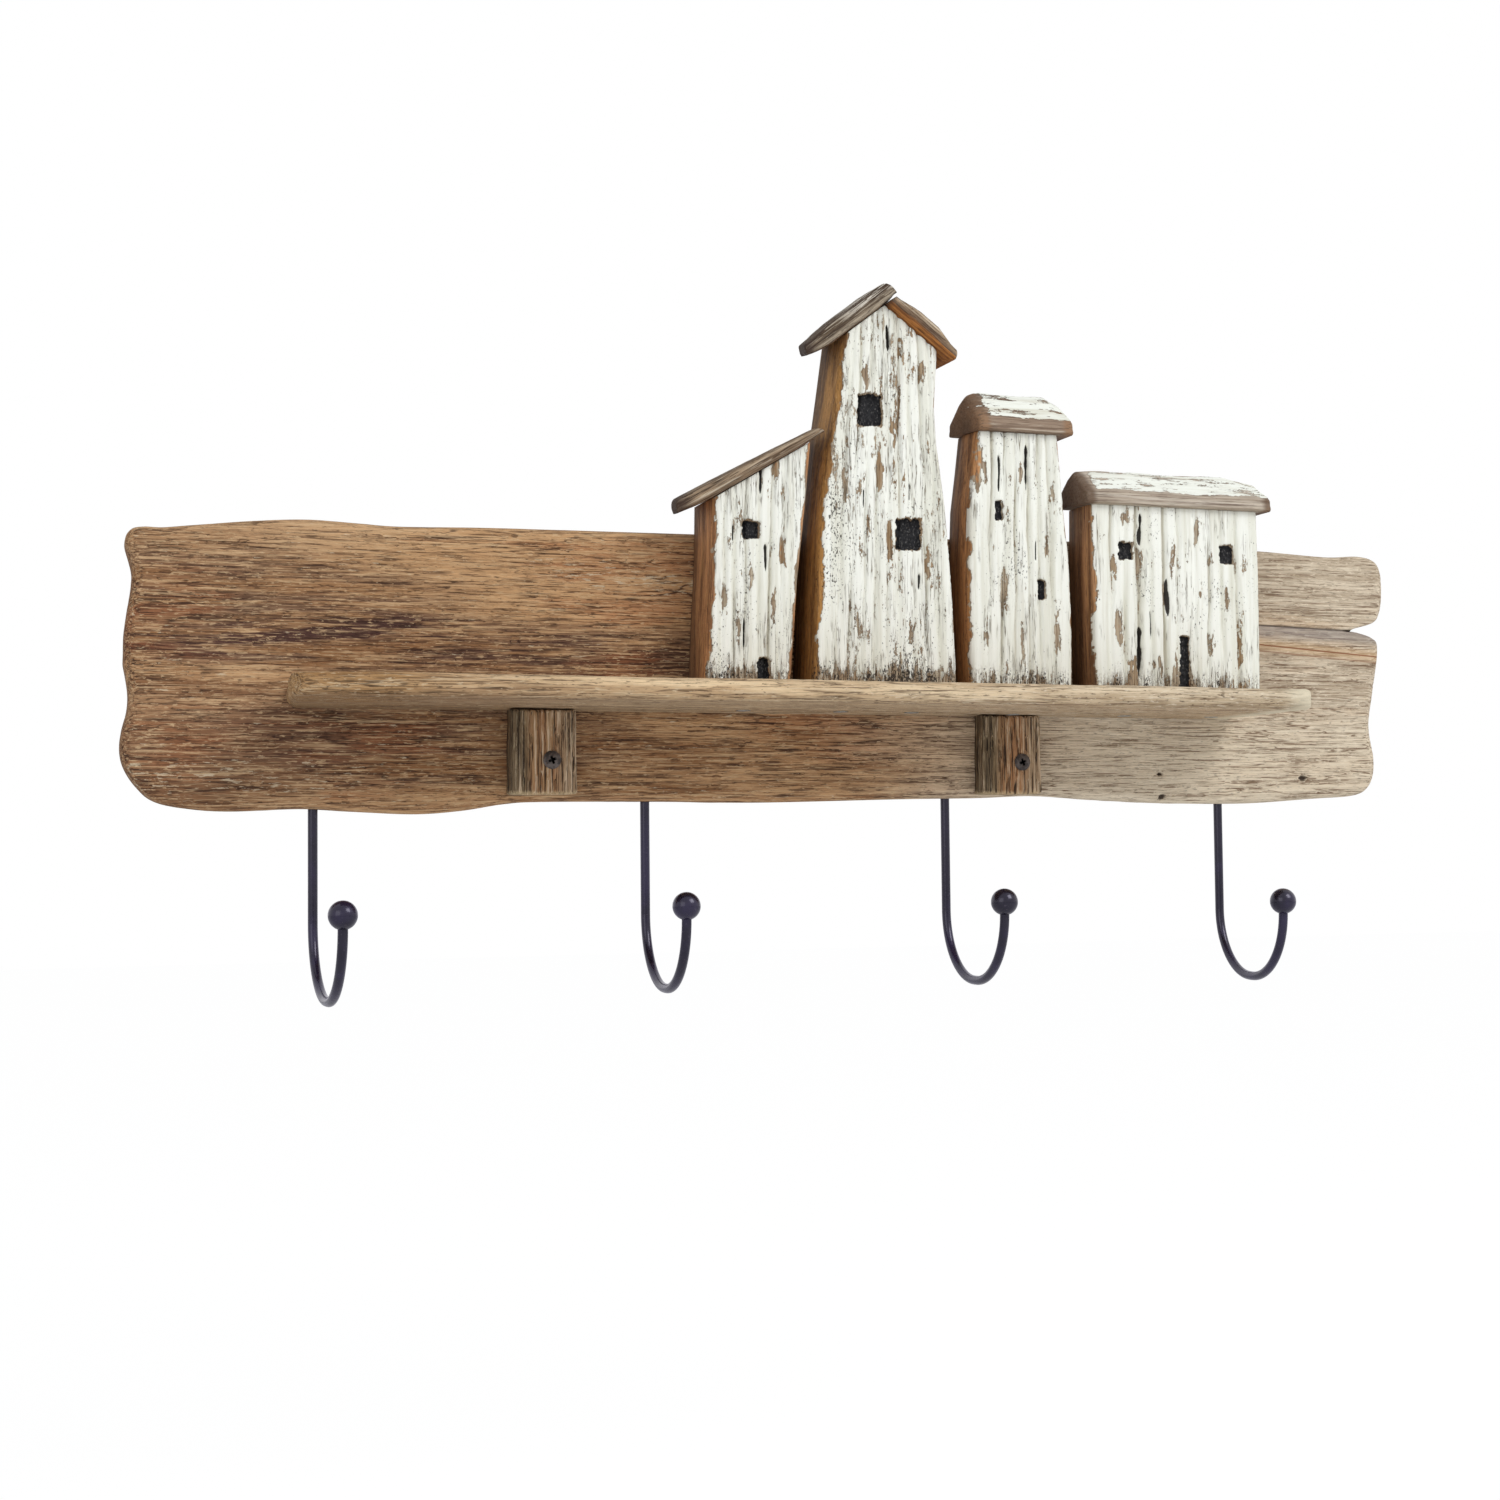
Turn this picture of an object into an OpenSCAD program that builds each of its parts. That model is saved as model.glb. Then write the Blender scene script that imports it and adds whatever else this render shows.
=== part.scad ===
// Wall key holder: a driftwood board with a shelf, four carved houses and four iron hooks.
// The wall is the plane y = 0, the front looks along -Y, and z = 0 is half way up the board.

/* [Back board] */
// Length of the back board
board_len = 650; // [600:10:720]
// Height of the back board at its middle
board_h = 131; // [120:1:150]
// Thickness of the back board
board_t = 18; // [16:0.5:24]
// Wear that rounds the front edges of the board
board_wear = 6.5; // [3:0.5:7]
// Length of the split in the right end
split_len = 14; // [10:1:40]

/* [Shelf] */
// Length of the shelf
shelf_len = 493; // [470:1:530]
// How far the shelf stands out from the board
shelf_depth = 76.6; // [66:0.2:90]
// Thickness of the shelf
shelf_t = 10.9; // [10:0.1:14]
// Height of the shelf's top above the middle of the board
shelf_top = -8; // [-14:0.5:0]
// Offset of the shelf's middle to the left of the board's middle
shelf_shift = 15; // [10:0.5:20]

/* [Bracket blocks] */
// Thickness of the two blocks under the shelf
block_t = 10; // [8:0.5:14]
// Height of the two blocks
block_h = 39; // [34:0.5:42]
// Width of the left block
block_left_w = 31; // [26:0.5:36]
// Width of the right block
block_right_w = 32; // [28:0.5:38]
// Middle of the left block
block_left_x = -138.5; // [-160:0.5:-120]
// Middle of the right block
block_right_x = 99; // [85:0.5:110]
// Offset of the left block's screw to the right of its middle
left_screw_shift = 3.6; // [-6:0.2:8]
// Offset of the right block's screw to the right of its middle
right_screw_shift = 5.4; // [-6:0.2:8]

/* [Hooks] */
// Distance from one hook to the next
hook_pitch = 155.8; // [135:0.1:165]
// Place of the first hook
hook_first_x = -241; // [-250:1:-230]
// Diameter of the hook rod
rod_d = 4.4; // [4:0.1:5.6]
// Radius of the bends, at the middle of the rod
bend_r = 33; // [24:0.5:33]
// Reach of a hook from its stem to its tip
hook_reach = 68.5; // [67:0.5:80]
// Depth of the hook's lowest point below the middle of the board
hook_drop = 150.4; // [140:0.2:165]
// Straight end of the rod above the second bend
tip_rise = 5.2; // [5:0.2:12]
// Length of rod that is driven into the board
rod_seat = 24; // [15:1:32]
// Diameter of the ball on each hook
ball_d = 12.6; // [11:0.2:16]

/* [Houses] */
// Depth of the lean-to house
lean_to_depth = 29; // [24:1:34]
// Depth of the tower house
tower_depth = 30; // [26:1:34]
// Depth of the narrow house
narrow_depth = 23; // [20:1:30]
// Depth of the low house
low_depth = 24; // [20:1:30]
// Height of the lean-to house at its high side
lean_to_h = 116; // [100:1:124]
// Height of the tower house at its apex
tower_h = 184; // [170:1:200]
// Height of the narrow house under its roof
narrow_h = 127.5; // [112:0.5:140]
// Height of the low house under its roof
low_h = 94; // [85:0.5:104]
// Depth of the carved flutes
flute_depth = 1.5; // [0.8:0.1:2]
// Depth of the cut windows and doors
window_cut = 2.6; // [1.5:0.1:4]

/* [Roofs] */
// Thickness of the tower's two roof boards
tower_roof_t = 9.6; // [7:0.1:11]
// Thickness of the lean-to roof at its low end
lean_roof_low_t = 9; // [7:0.1:11]
// Thickness of the lean-to roof at its high end
lean_roof_high_t = 5.2; // [4:0.1:6]
// How far the roofs stand out in front of the houses
roof_overhang = 4; // [2:0.5:6]
// Height of the narrow house's roof
narrow_roof_h = 20.5; // [17:0.5:26]
// Height of the low house's roof
low_roof_h = 18.5; // [15:0.5:24]
// Height of the straight front edge of those two roofs
fascia_h = 6.5; // [4:0.5:8]

/* [Fixings] */
// Distance between the two keyhole plates
hanger_pitch = 400; // [300:10:440]
// Height of the keyhole plates' middles above the middle of the board
hanger_z = 26; // [16:1:30]
// Thickness of a keyhole plate
plate_t = 1.6; // [1.2:0.1:2]
// Width of a keyhole plate
plate_w = 16; // [14:0.5:20]
// Length of a keyhole plate
plate_len = 50; // [46:1:60]
// Diameter of the keyhole's entry
keyhole_d = 9; // [8:0.5:10]
// Width of the keyhole's slot
keyslot_w = 4.6; // [4:0.1:5]
// Length of the screws that hold the shelf
shelf_screw_len = 42; // [35:1:50]
// Length of the screws that hold the houses
house_screw_len = 28; // [24:1:30]
// Length of the screws in the bracket blocks
block_screw_len = 22; // [16:1:25]
// Diameter of the wood screws' shanks
screw_d = 3.4; // [3:0.1:4]
// Gap left round a screw or a rod in its hole
hole_gap = 0.05; // [0.03:0.01:0.1]

/* [Hidden] */

// Length and height at which the board's natural edge was drawn
drawn_len = 650;
drawn_h = 131;
// Mouth of the split in the right end, and the place where it closes
split_mouth = 322;
split_tip = split_mouth - split_len;
// Bottom and top edges of the board, each from the middle of the left end to that of the right
bottom_edge = [
    [-323.5, 0], [-321.5, -17], [-325, -35], [-323, -46], [-317, -55], [-309, -61], [-294, -64],
    [-277, -65], [-246, -64], [-220, -65.5], [-195, -66.5], [-174, -65], [-154, -62], [-136, -61],
    [-80, -61], [-29, -61.5], [44, -60], [85, -59.5], [120, -58.5], [154, -60.5], [198, -62.3],
    [241, -62.4], [282, -60], [306, -58.5], [314, -55], [318.5, -48], [319.5, -38], [317, -21], [320, -3]
];
top_edge = [
    [-323.5, 0], [-323, 16], [-320, 38], [-323, 53], [-320.5, 59], [-315, 60.5], [-307, 60.5],
    [-294, 62], [-267, 65], [-244, 66.5], [-221, 65.7], [-202, 65], [-165, 66], [-125, 66.5],
    [-63, 67], [0, 68], [80, 70], [160, 71.5], [215, 71], [253, 70.3], [292, 68.7], [312, 69.7],
    [322, 67.5], [326, 62], [327, 52], [325.5, 40], [320.5, 34], [split_tip, 30.4], [split_tip, 28.8],
    [319, 25.8], [323.6, 20], [320, -3]
];
board_scale = [board_len / drawn_len, board_h / drawn_h];
board_samples = 93;
board_fan = 36;
// Lift of the pole at the right end, which brings it level with the split
board_pole_lift = 28 * board_scale.y;

// Front face of the board, where the shelf, the blocks and the houses sit
face_y = -board_t;
shelf_left = -shelf_shift - shelf_len / 2;
shelf_right = -shelf_shift + shelf_len / 2;
shelf_front = face_y - shelf_depth;
shelf_under = shelf_top - shelf_t;
shelf_samples = 50;
shelf_fan = 8;
// Part of the shelf that runs back past the board's face before it is sawn off square there
saw_off = 32;
edge_roll = 4.6;

// Turn and seating of each hook, which were driven in by hand
hook_turn = [2.3, -1.3, -1.3, -5.2];
hook_sink = [0, 1.2, 0.4, -1.8];
hooks = [for (i = [0:3]) hook_first_x + i * hook_pitch];
stem_y = -board_t / 2;
bend_z = -hook_drop + rod_d / 2 + bend_r;
stem_top = -board_h / 2 + rod_seat;
ball_z = bend_z + tip_rise;

// Sides of the houses, as height above the shelf and place along the board
lean_to_left = [[0, -66], [30, -64.5], [60, -62.6], [90, -62]];
lean_to_right = [[0, -24], [50, -20], [90, -15.1], [120, -12.1]];
tower_left = [[0, -13.2], [30, -11.6], [74, -9.2], [95, -7], [112, -4.9], [130, -1.6],
              [147, 1], [168, 4.1], [190, 6]];
tower_right = [[0, 61], [32, 60], [60, 58.4], [86, 56.4], [118, 52.3], [136, 51.2], [160, 52.8], [190, 53.4]];
narrow_left = [[0, 71.5], [30, 70.4], [60, 70.3], [90, 71.6], [110, 74.4], [126, 76.4]];
narrow_right = [[0, 127], [40, 127.1], [64, 126.3], [96, 123.3], [126, 121]];
low_left = [[0, 138.4], [40, 138], [70, 137.4], [94, 137.8]];
low_right = [[0, 233.8], [40, 234.2], [70, 234], [94, 233.6]];

// Slopes of the roofs, as rise over run
lean_slope = 0.593;
gable_left_slope = 0.76;
gable_right_slope = 0.742;
gable_x = 25;
gable_z = shelf_top + tower_h;
lean_high_x = -13.4;
lean_high_z = shelf_top + lean_to_h;
narrow_top = shelf_top + narrow_h;
low_top = shelf_top + low_h;
// Glue line between a house and its roof
glue = 0.05;
corner_r = 3.2;

// Ends of the roofs along the board, and how far their low or left ends are sawn askew
lean_roof_ends = [-79.3, -7];
lean_roof_skew = 9;
tower_roof_ends = [-14.6, 31, 59.6];
tower_roof_skew = 12;
narrow_roof_ends = [70.5, 127.5];
narrow_roof_skew = 6;
low_roof_ends = [130.5, 239.5];
low_roof_skew = 3.5;

// Windows and doors, as middle x, middle height above the shelf, width and height
lean_to_openings = [[-43.4, 73.2, 8.3, 8.6], [-37.7, 6.5, 6, 14]];
tower_openings = [[16.9, 133, 11.9, 15.4], [36.1, 73.9, 13.2, 15]];
narrow_openings = [[87.6, 88.7, 4.3, 9.8], [110.2, 50.6, 3.8, 9.4]];
low_openings = [[156.7, 71.4, 7.7, 8.8], [214.9, 71.4, 8.1, 9.6], [189.6, 14.5, 5.5, 29.5]];

// House screws stand under the lean-to, the tower, the narrow and the low house
house_screws = [
    [-44, lean_to_depth], [5, tower_depth], [42, tower_depth],
    [98, narrow_depth], [160, low_depth], [210, low_depth]
];
block_screws = [block_left_x + left_screw_shift, block_right_x + right_screw_shift];
shelf_screws = [shelf_left + 60, -shelf_shift, shelf_right - 60];
screw_head_d = 7;
block_head_d = 8.4;
small_screw_d = 2.8;
small_head_d = 5.2;
small_screw_len = 10;
// Distance of a plate screw from the plate's end
plate_screw_inset = 5;
// Heights of the keyhole's entry and of its slot's end from the middle of the plate
keyhole_low = -5;
keyhole_high = 7;
// Room behind a keyhole plate for the head of the wall screw
pocket_w = 13;
pocket_depth = 7;
// Thickness of a countersunk head's rim
head_rim = 0.3;
// Domed height of the two screw heads that show
head_dome = 0.8;
// Width of the slots of the cross in a screw head, as a share of the head
cross_width = 0.15;
// Drop of the blocks' screws below the middles of the blocks
block_screw_drop = 3.6;
// Place of the house screws between the back and the front of a house
house_screw_share = 0.55;
shank_fn = 48;

// Point at share t of a smooth curve through the points p
function curve_at(p, t) =
    let (
        last = len(p) - 1,
        u = min(t * last, last - 0.000001),
        i = floor(u),
        f = u - i,
        a = p[max(i - 1, 0)],
        b = p[i],
        c = p[i + 1],
        d = p[min(i + 2, last)]
    )
    0.5 * (2 * b + (c - a) * f + (2 * a - 5 * b + 4 * c - d) * f * f + (3 * b - a - 3 * c + d) * f * f * f);

// Closed ring of 2n points: along the first curve and back along the second
function ring_of(first, second, n) = concat(
    [for (i = [0:n]) curve_at(first, i / n)],
    [for (i = [n - 1:-1:1]) curve_at(second, i / n)]
);

// Radius of the ring's own turn at point i, large where it runs straight
function turn_radius(ring, i) =
    let (
        m = len(ring),
        u = ring[i % m] - ring[(i + m - 1) % m],
        v = ring[(i + 1) % m] - ring[i % m],
        turn = abs(atan2(u.x * v.y - u.y * v.x, u.x * v.x + u.y * v.y))
    )
    turn > 1 ? (norm(u) + norm(v)) / 2 / (turn * PI / 180) : 1000;

// The ring moved inwards by d, square to its own edge, or by less where it turns tightly
function inset(ring, d) =
    let (m = len(ring), radii = [for (i = [0:m - 1]) turn_radius(ring, i)])
    [for (i = [0:m - 1])
        let (
            t = ring[(i + 1) % m] - ring[(i + m - 1) % m],
            tightest = min([for (q = [-2:2]) radii[(i + q + m) % m]])
        )
        ring[i] + min(d, 0.75 * tightest) * [-t.y, t.x] / norm(t)];

// Triangles of a cap in ring order; the first k steps at each end fan out from a pole
function cap(n, k, base, poles) =
    let (r = 2 * n)
    concat(
        [for (i = [k:n - k - 1]) if (i + 1 < n) [base + i, base + i + 1, base + r - i - 1]],
        [for (i = [k:n - k - 1]) if (i > 0) [base + i, base + (r - i - 1) % r, base + r - i]],
        k == 0 ? [] : concat(
            [for (q = [0:2 * k - 1]) [base + (r - k + q) % r, base + (r - k + q + 1) % r, poles]],
            [[base + k, base + r - k, poles]],
            [for (q = [n - k:n + k - 1]) [base + q, base + q + 1, poles + 1]],
            [[base + n + k, base + n - k, poles + 1]]
        )
    );

function reversed(faces) = [for (f = faces) [f[2], f[1], f[0]]];

// Poles of a cap, inside the stretch that fans out at each end; the last one is moved by lift
function cap_poles(ring, n, k, lift) = [
    (ring[k] + ring[2 * n - k] + 2 * ring[0]) / 4,
    (ring[n - k] + ring[n + k] + 2 * ring[n]) / 4 + lift
];

// Solid skinned over rings of 2n points, each counter-clockwise seen from the last ring's side
module skin(rings, n, k = 0, lift = [0, 0, 0]) {
    r = 2 * n;
    m = len(rings);
    poles = k == 0 ? [] : concat(cap_poles(rings[0], n, k, lift), cap_poles(rings[m - 1], n, k, lift));
    sides = [for (j = [0:m - 2]) for (i = [0:r - 1]) for (half = [0, 1])
        let (a = j * r + i, b = a + r, c = (j + 1) * r + (i + 1) % r, d = j * r + (i + 1) % r)
        half == 0 ? [a, b, c] : [a, c, d]];
    points = concat([for (ring = rings) for (p = ring) p], poles);
    polyhedron(points, concat(
        sides,
        cap(n, k, 0, m * r),
        reversed(cap(n, k, (m - 1) * r, m * r + 2))
    ), convexity = 10);
}

// Flat slab on z = 0 with a worn edge, sawn off square at y = saw; each layer is [inset, height]
module worn_slab(first, second, layers, n, k, lift = 0, saw = 1000) {
    outline = ring_of(first, second, n);
    skin([for (l = layers) [for (p = inset(outline, l[0])) [p.x, min(p.y, saw), l[1]]]], n, k, [0, lift, 0]);
}

// Countersunk wood screw standing on its point, with the head's face at z = 0 and the shank below
module wood_screw(len, d, head_d, dome = 0) {
    head_h = (head_d - d) / 2;
    tip = d * 1.3;
    difference() {
        union() {
            rotate_extrude($fn = shank_fn)
                polygon([[0, 0], [head_d / 2, 0], [head_d / 2, -head_rim], [d / 2, -head_h - head_rim],
                         [d / 2, tip - len], [0, -len]]);
            if (dome > 0)
                intersection() {
                    translate([0, 0, dome - (head_d * head_d / 4 + dome * dome) / (2 * dome)])
                        sphere(r = (head_d * head_d / 4 + dome * dome) / (2 * dome), $fn = 96);
                    cylinder(h = dome * 2, d = head_d, $fn = shank_fn);
                }
        }
        intersection() {
            translate([0, 0, -head_h * 0.9])
                cylinder(h = head_h + dome + 1, d1 = head_d * 0.16, d2 = head_d * 0.62, $fn = shank_fn);
            union() {
                for (turn = [0, 90])
                    rotate([0, 0, turn + 20])
                        cube([head_d, head_d * cross_width, 20], center = true);
            }
        }
    }
}

// Room for that screw, with the countersink for its head
module screw_hole(len, d, head_d) {
    head_h = (head_d - d) / 2;
    translate([0, 0, -len - 1])
        cylinder(h = len + 2, d = d + 2 * hole_gap, $fn = shank_fn);
    translate([0, 0, -head_h - head_rim - hole_gap])
        cylinder(h = head_h + 0.02, d1 = d + 2 * hole_gap, d2 = head_d + 2 * hole_gap, $fn = shank_fn);
    translate([0, 0, -head_rim - hole_gap])
        cylinder(h = 3, d = head_d + 2 * hole_gap, $fn = shank_fn);
}

module at_shelf_screw(x) translate([x, 0, shelf_under + shelf_t / 2]) rotate([-90, 0, 0]) children();

module at_house_screw(i)
    translate([house_screws[i][0], face_y - house_screws[i][1] * house_screw_share, shelf_under])
        mirror([0, 0, 1]) children();

module at_block_screw(x)
    translate([x, face_y - block_t, block_z() - block_screw_drop]) rotate([90, 0, 0]) children();

function block_z() = shelf_under - block_h / 2;

// Places of the keyhole plates' four screws: left plate first, lower screw first
module at_plate_screw(i)
    translate([
        (i < 2 ? -1 : 1) * hanger_pitch / 2,
        0,
        hanger_z + (i % 2 == 0 ? -1 : 1) * (plate_len / 2 - plate_screw_inset)
    ]) rotate([-90, 0, 0]) children();

// Outline of a keyhole plate, a little larger by grow
module plate_shape(grow = 0) {
    r = plate_w / 2 + grow;
    for (end = [-1, 1])
        translate([0, end * (plate_len / 2 - plate_w / 2)]) circle(r = r, $fn = shank_fn);
    square([2 * r, plate_len - plate_w], center = true);
}

// The keyhole: a round entry below and a narrow slot above it
module keyhole_shape() {
    translate([0, keyhole_low]) circle(d = keyhole_d, $fn = shank_fn);
    translate([0, keyhole_high]) circle(d = keyslot_w, $fn = shank_fn);
    translate([-keyslot_w / 2, keyhole_low]) square([keyslot_w, keyhole_high - keyhole_low]);
}

module back_board() {
    half_t = board_t / 2;
    layers = [
        [3.5, 0], [1, 1.2], [0, 3.5], [0, board_t - board_wear * 0.85],
        [board_wear * 0.15, board_t - board_wear * 0.45], [board_wear * 0.5, board_t - board_wear * 0.12],
        [board_wear, board_t]
    ];
    color("#8f6b48") difference() {
        rotate([90, 0, 0]) worn_slab(
            [for (p = bottom_edge) [p.x * board_scale.x, p.y * board_scale.y]],
            [for (p = top_edge) [p.x * board_scale.x, p.y * board_scale.y]],
            layers, board_samples, board_fan, board_pole_lift
        );
        for (i = [0:3])
            translate([hooks[i], stem_y, -board_h])
                cylinder(h = board_h + stem_top + hook_sink[i] + 1, d = rod_d + 2 * hole_gap, $fn = shank_fn);
        for (x = shelf_screws)
            at_shelf_screw(x) screw_hole(shelf_screw_len, screw_d, screw_head_d);
        for (x = block_screws)
            at_block_screw(x) screw_hole(block_screw_len, screw_d, block_head_d);
        for (side = [-1, 1])
            translate([side * hanger_pitch / 2, 0, hanger_z]) {
                rotate([90, 0, 0]) linear_extrude(plate_t + 0.02) plate_shape(0.3);
                translate([-pocket_w / 2, -plate_t - pocket_depth, keyhole_low - pocket_w / 2])
                    cube([pocket_w, plate_t + pocket_depth, keyhole_high - keyhole_low + pocket_w]);
            }
        for (i = [0:3])
            at_plate_screw(i) screw_hole(small_screw_len, small_screw_d, small_head_d);
    }
}

module shelf() {
    back_y = face_y + saw_off;
    front = [
        [shelf_left + 4.5, face_y - 32], [shelf_left + 2.5, shelf_front + 25], [shelf_left, shelf_front + 12],
        [shelf_left + 3, shelf_front + 4], [shelf_left + 12, shelf_front + 0.6],
        [shelf_left + 70, shelf_front], [shelf_left + 151.5, shelf_front + 0.9], [shelf_left + 221.5, shelf_front],
        [shelf_right - 191.5, shelf_front + 0.8], [shelf_right - 121.5, shelf_front - 0.1],
        [shelf_right - 50, shelf_front + 0.9],
        [shelf_right - 9, shelf_front + 0.5], [shelf_right - 2, shelf_front + 4],
        [shelf_right, shelf_front + 12], [shelf_right - 0.5, shelf_front + 26], [shelf_right + 0.4, face_y - 32]
    ];
    back = [
        [shelf_left + 4.5, face_y - 32], [shelf_left + 6, face_y - 14], [shelf_left + 8, face_y + 4],
        [shelf_left + 16, back_y - 10], [shelf_left + 42, back_y], [shelf_left + 181.5, back_y],
        [shelf_right - 171.5, back_y],
        [shelf_right - 42, back_y], [shelf_right - 10, back_y - 10], [shelf_right, face_y + 4],
        [shelf_right + 1, face_y - 14], [shelf_right + 0.4, face_y - 32]
    ];
    layers = [
        [edge_roll, 0], [edge_roll * 0.35, shelf_t * 0.12], [0, shelf_t * 0.38], [0, shelf_t * 0.6],
        [edge_roll * 0.3, shelf_t * 0.88], [edge_roll * 0.9, shelf_t]
    ];
    color("#a98e6c") difference() {
        translate([0, 0, shelf_under]) worn_slab(front, back, layers, shelf_samples, shelf_fan, 0, face_y);
        for (x = shelf_screws)
            at_shelf_screw(x) screw_hole(shelf_screw_len, screw_d, screw_head_d);
        for (i = [0:5])
            at_house_screw(i) screw_hole(house_screw_len, screw_d, screw_head_d);
    }
}

// Block sawn from a scrap of board, with its grain upright, its edges worn and a screw at screw_x
module bracket_block(x, w, screw_x) {
    a = w / 2;
    b = block_h / 2;
    first = [[-a, 0], [-a + 0.2, -b + 4], [-a + 0.8, -b + 0.9], [-a + 4, -b], [0, -b - 0.1], [a - 4, -b + 0.2],
             [a - 0.8, -b + 0.9], [a, -b + 4], [a - 0.2, 0]];
    second = [[-a, 0], [-a + 0.5, b - 4], [-a + 0.4, b + 1], [-a + 4, b + 3], [0, b + 3], [a - 4, b + 3],
              [a - 0.4, b + 1], [a - 0.1, b - 4], [a - 0.2, 0]];
    layers = [[0, 0], [0, block_t - 1.6], [0.4, block_t - 0.5], [1.4, block_t]];
    color("#9a8062") difference() {
        translate([x, face_y, block_z()]) rotate([90, 0, 0]) worn_slab(first, second, layers, 24, 3);
        translate([x - w, face_y - 2 * block_t, shelf_under]) cube([2 * w, 3 * block_t, 10]);
        at_block_screw(screw_x) screw_hole(block_screw_len, screw_d, block_head_d);
    }
}

module block_screw(x) color("#3b332c") at_block_screw(x)
    wood_screw(block_screw_len, screw_d, block_head_d, head_dome);

module shelf_screw(x) color("#8b8878") at_shelf_screw(x) wood_screw(shelf_screw_len, screw_d, screw_head_d);

module house_screw(i) color("#8b8878") at_house_screw(i) wood_screw(house_screw_len, screw_d, screw_head_d);

module plate_screw(i) color("#a9a9a4") at_plate_screw(i)
    wood_screw(small_screw_len, small_screw_d, small_head_d);

module keyhole_plate(side) {
    color("#b4b4b0") difference() {
        translate([side * hanger_pitch / 2, 0, hanger_z]) rotate([90, 0, 0]) linear_extrude(plate_t)
            difference() {
                plate_shape();
                keyhole_shape();
            }
        for (i = [0:3])
            at_plate_screw(i) screw_hole(small_screw_len, small_screw_d, small_head_d);
    }
}

// Frame of one hook: its stem stands at the origin and it reaches along -Y, turned as it was driven in
module at_hook(i) translate([hooks[i], stem_y, hook_sink[i]]) rotate([0, 0, hook_turn[i]]) children();

// Quarter bend in the plane x = 0 about the origin, from angle start
module rod_bend(start)
    rotate([90, 0, -90]) rotate_extrude(angle = 90, start = start, $fn = 96)
        translate([bend_r, 0]) circle(d = rod_d, $fn = 32);

module hook_rod(i) {
    color("#3d3946") at_hook(i) {
        translate([0, 0, bend_z]) cylinder(h = stem_top - bend_z, d = rod_d, $fn = 32);
        translate([0, -bend_r, bend_z]) rod_bend(180);
        translate([0, bend_r - hook_reach, bend_z - bend_r]) rotate([-90, 0, 0])
            cylinder(h = hook_reach - 2 * bend_r, d = rod_d, $fn = 32);
        translate([0, bend_r - hook_reach, bend_z]) rod_bend(270);
        translate([0, -hook_reach, bend_z]) cylinder(h = tip_rise, d = rod_d, $fn = 32);
    }
}

module hook_ball(i) {
    color("#3d3946") at_hook(i) translate([0, -hook_reach, ball_z]) difference() {
        sphere(d = ball_d, $fn = 64);
        translate([0, 0, -ball_d]) cylinder(h = ball_d + hole_gap, d = rod_d + 2 * hole_gap, $fn = 48);
    }
}

// Depth of the carved flutes at share s across the front and height z
function flute(s, z, count, phase) =
    let (
        drift = 0.05 * sin(z * 2.1 + phase) + 0.03 * sin(z * 5.3 + s * 200),
        warped = s + 0.018 * sin(360 * 2.4 * s + phase)
    )
    flute_depth * (1 - pow(abs(sin(180 * (count * warped + drift))), 0.6));

// Place along a side at height z above the shelf
function side_at(side, z) =
    let (
        last = len(side) - 1,
        i = max([0, for (q = [0:last - 1]) if (z >= side[q][0]) q]),
        f = (z - side[i][0]) / (side[i + 1][0] - side[i][0])
    )
    side[i][1] + f * (side[i + 1][1] - side[i][1]);

function across(left, right, z, s) =
    side_at(left, z) * (1 - s) + side_at(right, z) * s;

// Carved house: left and right sides, a top that top_z(x) gives, a fluted front and a flat back
module carved_house(left, right, depth, top_z, count, phase, columns, rows, side_bulge) {
    side_steps = [0, 0.3, 0.65];
    n = columns + 2 * len(side_steps);
    function share(i) = max(0, min(1, (i - len(side_steps)) / columns));
    // Height of the top over share s, found in three passes because the sides are curved
    function roof_x(s) =
        let (
            x0 = across(left, right, 90, s),
            x1 = across(left, right, top_z(x0) - shelf_top, s),
            x2 = across(left, right, top_z(x1) - shelf_top, s)
        )
        across(left, right, top_z(x2) - shelf_top, s);
    function point_z(s, t) = t * (top_z(roof_x(s)) - shelf_top);
    function point_x(s, t) = t == 1 ? roof_x(s) : across(left, right, point_z(s, t), s);
    function forward(i) =
        i < len(side_steps) ? side_steps[i] : i > n - len(side_steps) ? side_steps[n - i] : 1;
    function rounding(x, xl, xr) =
        let (e = min([x - xl, xr - x, corner_r]) / corner_r) corner_r * (1 - sqrt(1 - (1 - e) * (1 - e)));
    function front_y(i, s, x, xl, xr, z) =
        forward(i) < 1
            ? forward(i) * (depth - corner_r)
            : depth - min(corner_r, rounding(x, xl, xr) + flute(s, z, count, phase));
    function front_point(i, t) =
        let (
            s = share(i), x = point_x(s, t), z = point_z(s, t),
            xl = point_x(0, t), xr = point_x(1, t),
            out = side_bulge * sin(180 * forward(i)) * (s == 0 ? -1 : s == 1 ? 1 : 0),
            px = x + out
        )
        [px, face_y - front_y(i, s, x, xl, xr, z), t == 1 ? top_z(px) : shelf_top + z];
    function back_point(i, t) =
        let (s = i / n, x = point_x(s, t), z = point_z(s, t))
        [x, face_y, shelf_top + z];
    skin([for (j = [0:rows])
        let (t = j / rows)
        concat([for (i = [0:n]) front_point(i, t)], [for (i = [n - 1:-1:1]) back_point(i, t)])
    ], n);
}

// Shallow cuts for windows and doors
module openings(list, depth)
    for (w = list)
        translate([w[0] - w[2] / 2, face_y - depth - 1, shelf_top + w[1] - w[3] / 2])
            cube([w[2], window_cut + 1, w[3]]);

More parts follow.
